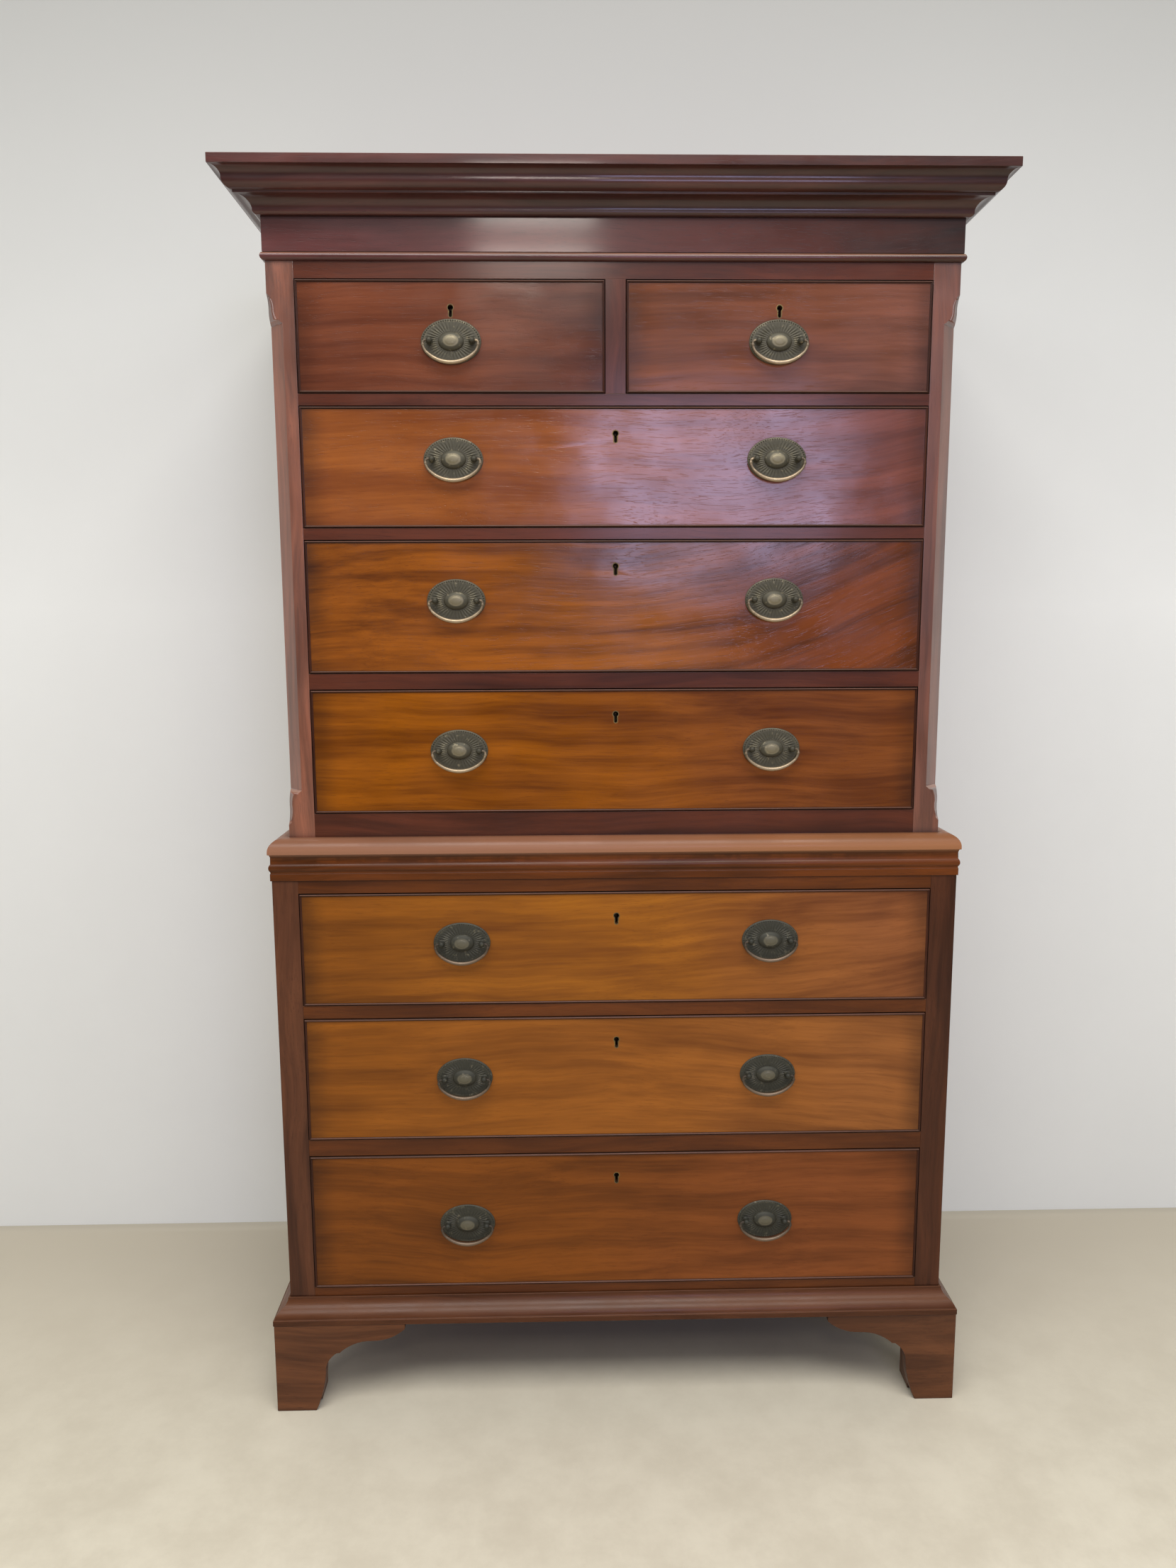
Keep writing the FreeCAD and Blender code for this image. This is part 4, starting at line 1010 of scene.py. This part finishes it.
# %% The bail's path and thickness
PIN_TIP, PIN_END, PIN_RADIUS = 0.0300, 0.0354, 0.0015
BALL_EDGE, BEND, SHOULDER, DROP = 0.0362, 0.0040, 0.0180, 0.0310
PIN_STEPS = (0.0012, 0.0006, 0.0)
BEND_STEPS, BOW_STEPS = 6, 12
WIRE_RADIUS, SWELL, SWELL_POWER = 0.0018, 0.0013, 0.6
COLLAR, COLLAR_DROP, COLLAR_HALF, COLLAR_ACROSS = 0.0009, 0.0062, 0.0016, 0.03


def arc_points(centre, radius, start, end, count):
    turns = [start + (end - start) * i / count for i in range(1, count + 1)]
    return [(centre[0] + radius * cos(turn), centre[1] + radius * sin(turn)) for turn in turns]


def bail_path():
    """Half the bail as (across, up) points from a pin's tip to the middle of the bow."""
    shoulder_x = BALL_EDGE + BEND - SHOULDER
    span = DROP - SHOULDER
    rise = (shoulder_x ** 2 + BEND ** 2 - span ** 2) / (2 * (span - BEND))
    meet = atan2(rise + BEND, shoulder_x)
    points = [(PIN_TIP, 0.0)] + [(BALL_EDGE - step, 0.0) for step in PIN_STEPS]
    points += arc_points((BALL_EDGE, -BEND), BEND, pi / 2, 0.0, BEND_STEPS)
    points += arc_points((shoulder_x, -BEND), SHOULDER, 0.0, -meet, BOW_STEPS)
    points += arc_points((0.0, rise), rise + DROP, -meet, -pi / 2, BOW_STEPS)
    return points


def bail_thickness(across, up):
    if across < PIN_END and up == 0.0:
        return PIN_RADIUS
    near_collar = max(0.0, 1 - abs(up + COLLAR_DROP) / COLLAR_HALF)
    collar = COLLAR * near_collar if across > COLLAR_ACROSS else 0.0
    swell = SWELL * (1 - min(1.0, across / BALL_EDGE)) ** SWELL_POWER
    return WIRE_RADIUS + collar + swell


half_path = bail_path()
whole_path = half_path + [(-a, u) for a, u in half_path[-2::-1]]
drop = -min(u for a, u in half_path)
print("bail path:", len(whole_path), "points, drop", round(drop * 1000, 1), "mm")


# %% [markdown]
# ## The bails, swept and hung
#
# The tree itself is short: it makes the path a curve, sets its radius from the attribute, sweeps a
# circle and caps the ends. Each bail is then welded, so that its caps close, and hung on its own
# body, because each one swings by itself. Hands have rubbed the bow brighter than the shoulders.

# %% The bail tree
LEAST_RUBBED, BOW_RUBBED, WELD = 0.1, 0.75, 1e-6


def build_bail_tree():
    tree, given, result = open_group("swept bail", "GeometryNodeTree", {
        "Path": (GEOMETRY, None), "Sides": (WHOLE, 16), "Finish": (FINISH, None)},
        {"Geometry": GEOMETRY})
    line = stage_of(tree, "MeshToCurve", {"Mesh": given["Path"]})
    thickness = stage_of(tree, "InputNamedAttribute", {"Name": "thickness"}, data_type="FLOAT")
    section = stage_of(tree, "CurvePrimitiveCircle", {"Resolution": given["Sides"],
                                                      "Radius": 1.0})
    swept = stage_of(tree, "CurveToMesh", {"Curve": line, "Profile Curve": section,
                                           "Scale": thickness, "Fill Caps": True})
    smooth = stage_of(tree, "SetShadeSmooth", {"Geometry": swept})
    finish_tree(tree, smooth, given["Finish"], result)
    return tree


bail_tree = build_bail_tree()


def make_bail(name, place, brass):
    seed = bpy.data.meshes.new(name + "_seed")
    pivot = place - Vector((0, PIVOT_PROUD, 0))
    seed.from_pydata([tuple(pivot + Vector((a, 0, u))) for a, u in whole_path],
                     [(i, i + 1) for i in range(len(whole_path) - 1)], [])
    radii = seed.attributes.new("thickness", "FLOAT", "POINT")
    rubbed = seed.attributes.new("rubbed", "FLOAT", "POINT")
    for radius, rub, (a, u) in zip(radii.data, rubbed.data, whole_path):
        radius.value = bail_thickness(abs(a), u)
        rub.value = LEAST_RUBBED + BOW_RUBBED * min(1.0, max(0.0, -u / DROP))
    piece = grow(name, seed, bail_tree, finish=brass)
    clean = bmesh.new()
    clean.from_mesh(piece.data)
    bmesh.ops.remove_doubles(clean, verts=clean.verts, dist=WELD)
    bmesh.ops.recalc_face_normals(clean, faces=clean.faces)
    clean.to_mesh(piece.data)
    clean.free()
    return piece


for drawer in drawers:
    for bail, place in handles[drawer]:
        piece = make_bail("swept_" + bail, place, brass_of(drawer, "bail_brass"))
        stand_for(piece, bail)
print("bail faces:", len(piece.data.polygons), "from", len(bail_tree.nodes), "nodes")

# %% [markdown]
# ## Floor and wall
#
# The chest stands just in front of a pale wall, on a pale floor. A closed room would hide its
# back, so the wall is a single sheet that turns clear when seen from behind, and it lets light
# through to boards that stand within a few centimetres of it. Both surfaces have a faint mottle.
# Painted shade darkens the floor slowly towards the wall, and the wall upwards.

# %% Make the floor and wall
WALL_Y, WALL_HEIGHT, ROOM_HALF = 0.313, 8, 14
CLEAR_WITHIN = 0.045


def sheet(name, near, far, material):
    """A sheet as wide as the room, from one line to another. A line is its (y, z)."""
    mesh = bpy.data.meshes.new(name)
    mesh.from_pydata([(-ROOM_HALF, *near), (ROOM_HALF, *near), (ROOM_HALF, *far),
                      (-ROOM_HALF, *far)], [], [(0, 1, 2, 3)])
    mesh.materials.append(material)
    show(name, mesh)


def pale_surface(name, colour, shade, scale, far, axis, begins, ends):
    """Mottled paint that turns to a second colour along one axis, between two places."""
    material, tree, shader = new_material(name)
    place = object_place(tree)
    fleck = ramp(tree, cloud(tree, place, scale, 8.0, 0.7), 0.3, 0.7)
    paint = blend_colours(tree, fleck, hex_colour(shade), hex_colour(colour))
    # Painted shade: the second colour darkens the surface along the axis.
    shade_falloff = ramp(tree, split(tree, place)[axis], begins, ends, smooth=False)
    paint = blend_colours(tree, shade_falloff, paint, hex_colour(far))
    fill(tree, shader, {"Base Color": paint, "Roughness": 0.85, "Specular IOR Level": 0.2})
    return material


def clear_from_behind(material):
    """Let a surface vanish from behind, and for rays that have only just set out."""
    tree = material.node_tree
    solid = tree.nodes["Principled BSDF"].outputs[0]
    behind = add(tree, "ShaderNodeNewGeometry").outputs["Backfacing"]
    length = add(tree, "ShaderNodeLightPath").outputs["Ray Length"]
    near = sum_of(tree, "LESS_THAN", length, CLEAR_WITHIN)
    clear = add(tree, "ShaderNodeBsdfTransparent").outputs[0]
    vanish = sum_of(tree, "MAXIMUM", behind, near)
    choice = add(tree, "ShaderNodeMixShader", {0: vanish, 1: solid, 2: clear})
    tree.links.new(choice.outputs[0], tree.nodes["Material Output"].inputs["Surface"])


# The floor's darker colour towards the wall and the wall's darker top are painted shade.
floor_paint = pale_surface("floor_paint", "dad3be", "cbc3ae", 8.0, "b9b19f", "Y", -0.7, 0.2)
wall_paint = pale_surface("wall_paint", "e4e5e2", "e0e1de", 0.8, "9c9c98", "Z", 1.3, 2.6)
clear_from_behind(wall_paint)
sheet("floor", (-ROOM_HALF, 0), (ROOM_HALF, 0), floor_paint)
sheet("wall", (WALL_Y, 0), (WALL_Y, WALL_HEIGHT), wall_paint)

# %% [markdown]
# ## Light
#
# The light is a bright, even room: a soft lamp overhead, one at each side, one behind for the
# back, and the pale room itself. The window pane and the two narrow strips are there to be seen
# as soft reflections in the polish. A row gives a lamp's place, its target, its width and height,
# its watts and its colour.

# %% Lamps and world
ROOM_LIGHT = 0.25
LAMPS = {
    "overhead": ((0.0, -2.4, 4.2), (0, -1.4, 0), 3.2, 2.0, 155, "fffdfb"),
    "left_fill": ((-3.4, -2.6, 3.5), (0, 0, 0.6), 2.0, 2.0, 50, "fcfdff"),
    "right_fill": ((3.4, -2.6, 3.5), (0, 0, 0.6), 2.0, 2.0, 45, "f8faff"),
    "window": ((0.60, -3.66, 1.88), (0.3, 0, 1.0), 1.07, 0.86, 18.6, "cccfff"),
    "behind": ((0.0, 3.4, 2.8), (0, 0, 0.9), 2.4, 2.0, 28, "fcfdff"),
    "upper_strip": ((-0.18, -3.5, 2.98), (0, 0, 1.6), 0.5, 0.1, 4.0, "fff4ea"),
    "lower_strip": ((-0.18, -3.5, 2.75), (0, 0, 1.6), 0.5, 0.1, 4.0, "fff4ea"),
}
for name, (place, target, width, height, watts, colour) in LAMPS.items():
    light = bpy.data.lights.new(name, "AREA")
    light.shape = "RECTANGLE"
    light.size, light.size_y = width, height
    light.energy = watts
    light.color = hex_colour(colour)[:3]
    lamp = show(name, light)
    lamp.location = place
    aim = Vector(target) - Vector(place)
    lamp.rotation_euler = aim.to_track_quat("-Z", "Y").to_euler()

world = bpy.data.worlds.new("room")
scene.world = world
world.use_nodes = True
fill(world.node_tree, world.node_tree.nodes["Background"], {
    "Color": hex_colour("f4f6f8"), "Strength": ROOM_LIGHT})
print("lamps:", ", ".join(LAMPS))

# %% [markdown]
# ## Finish
#
# The pattern object that only served the plate tree goes.

# %% Finish
bpy.data.objects.remove(plate_pattern)
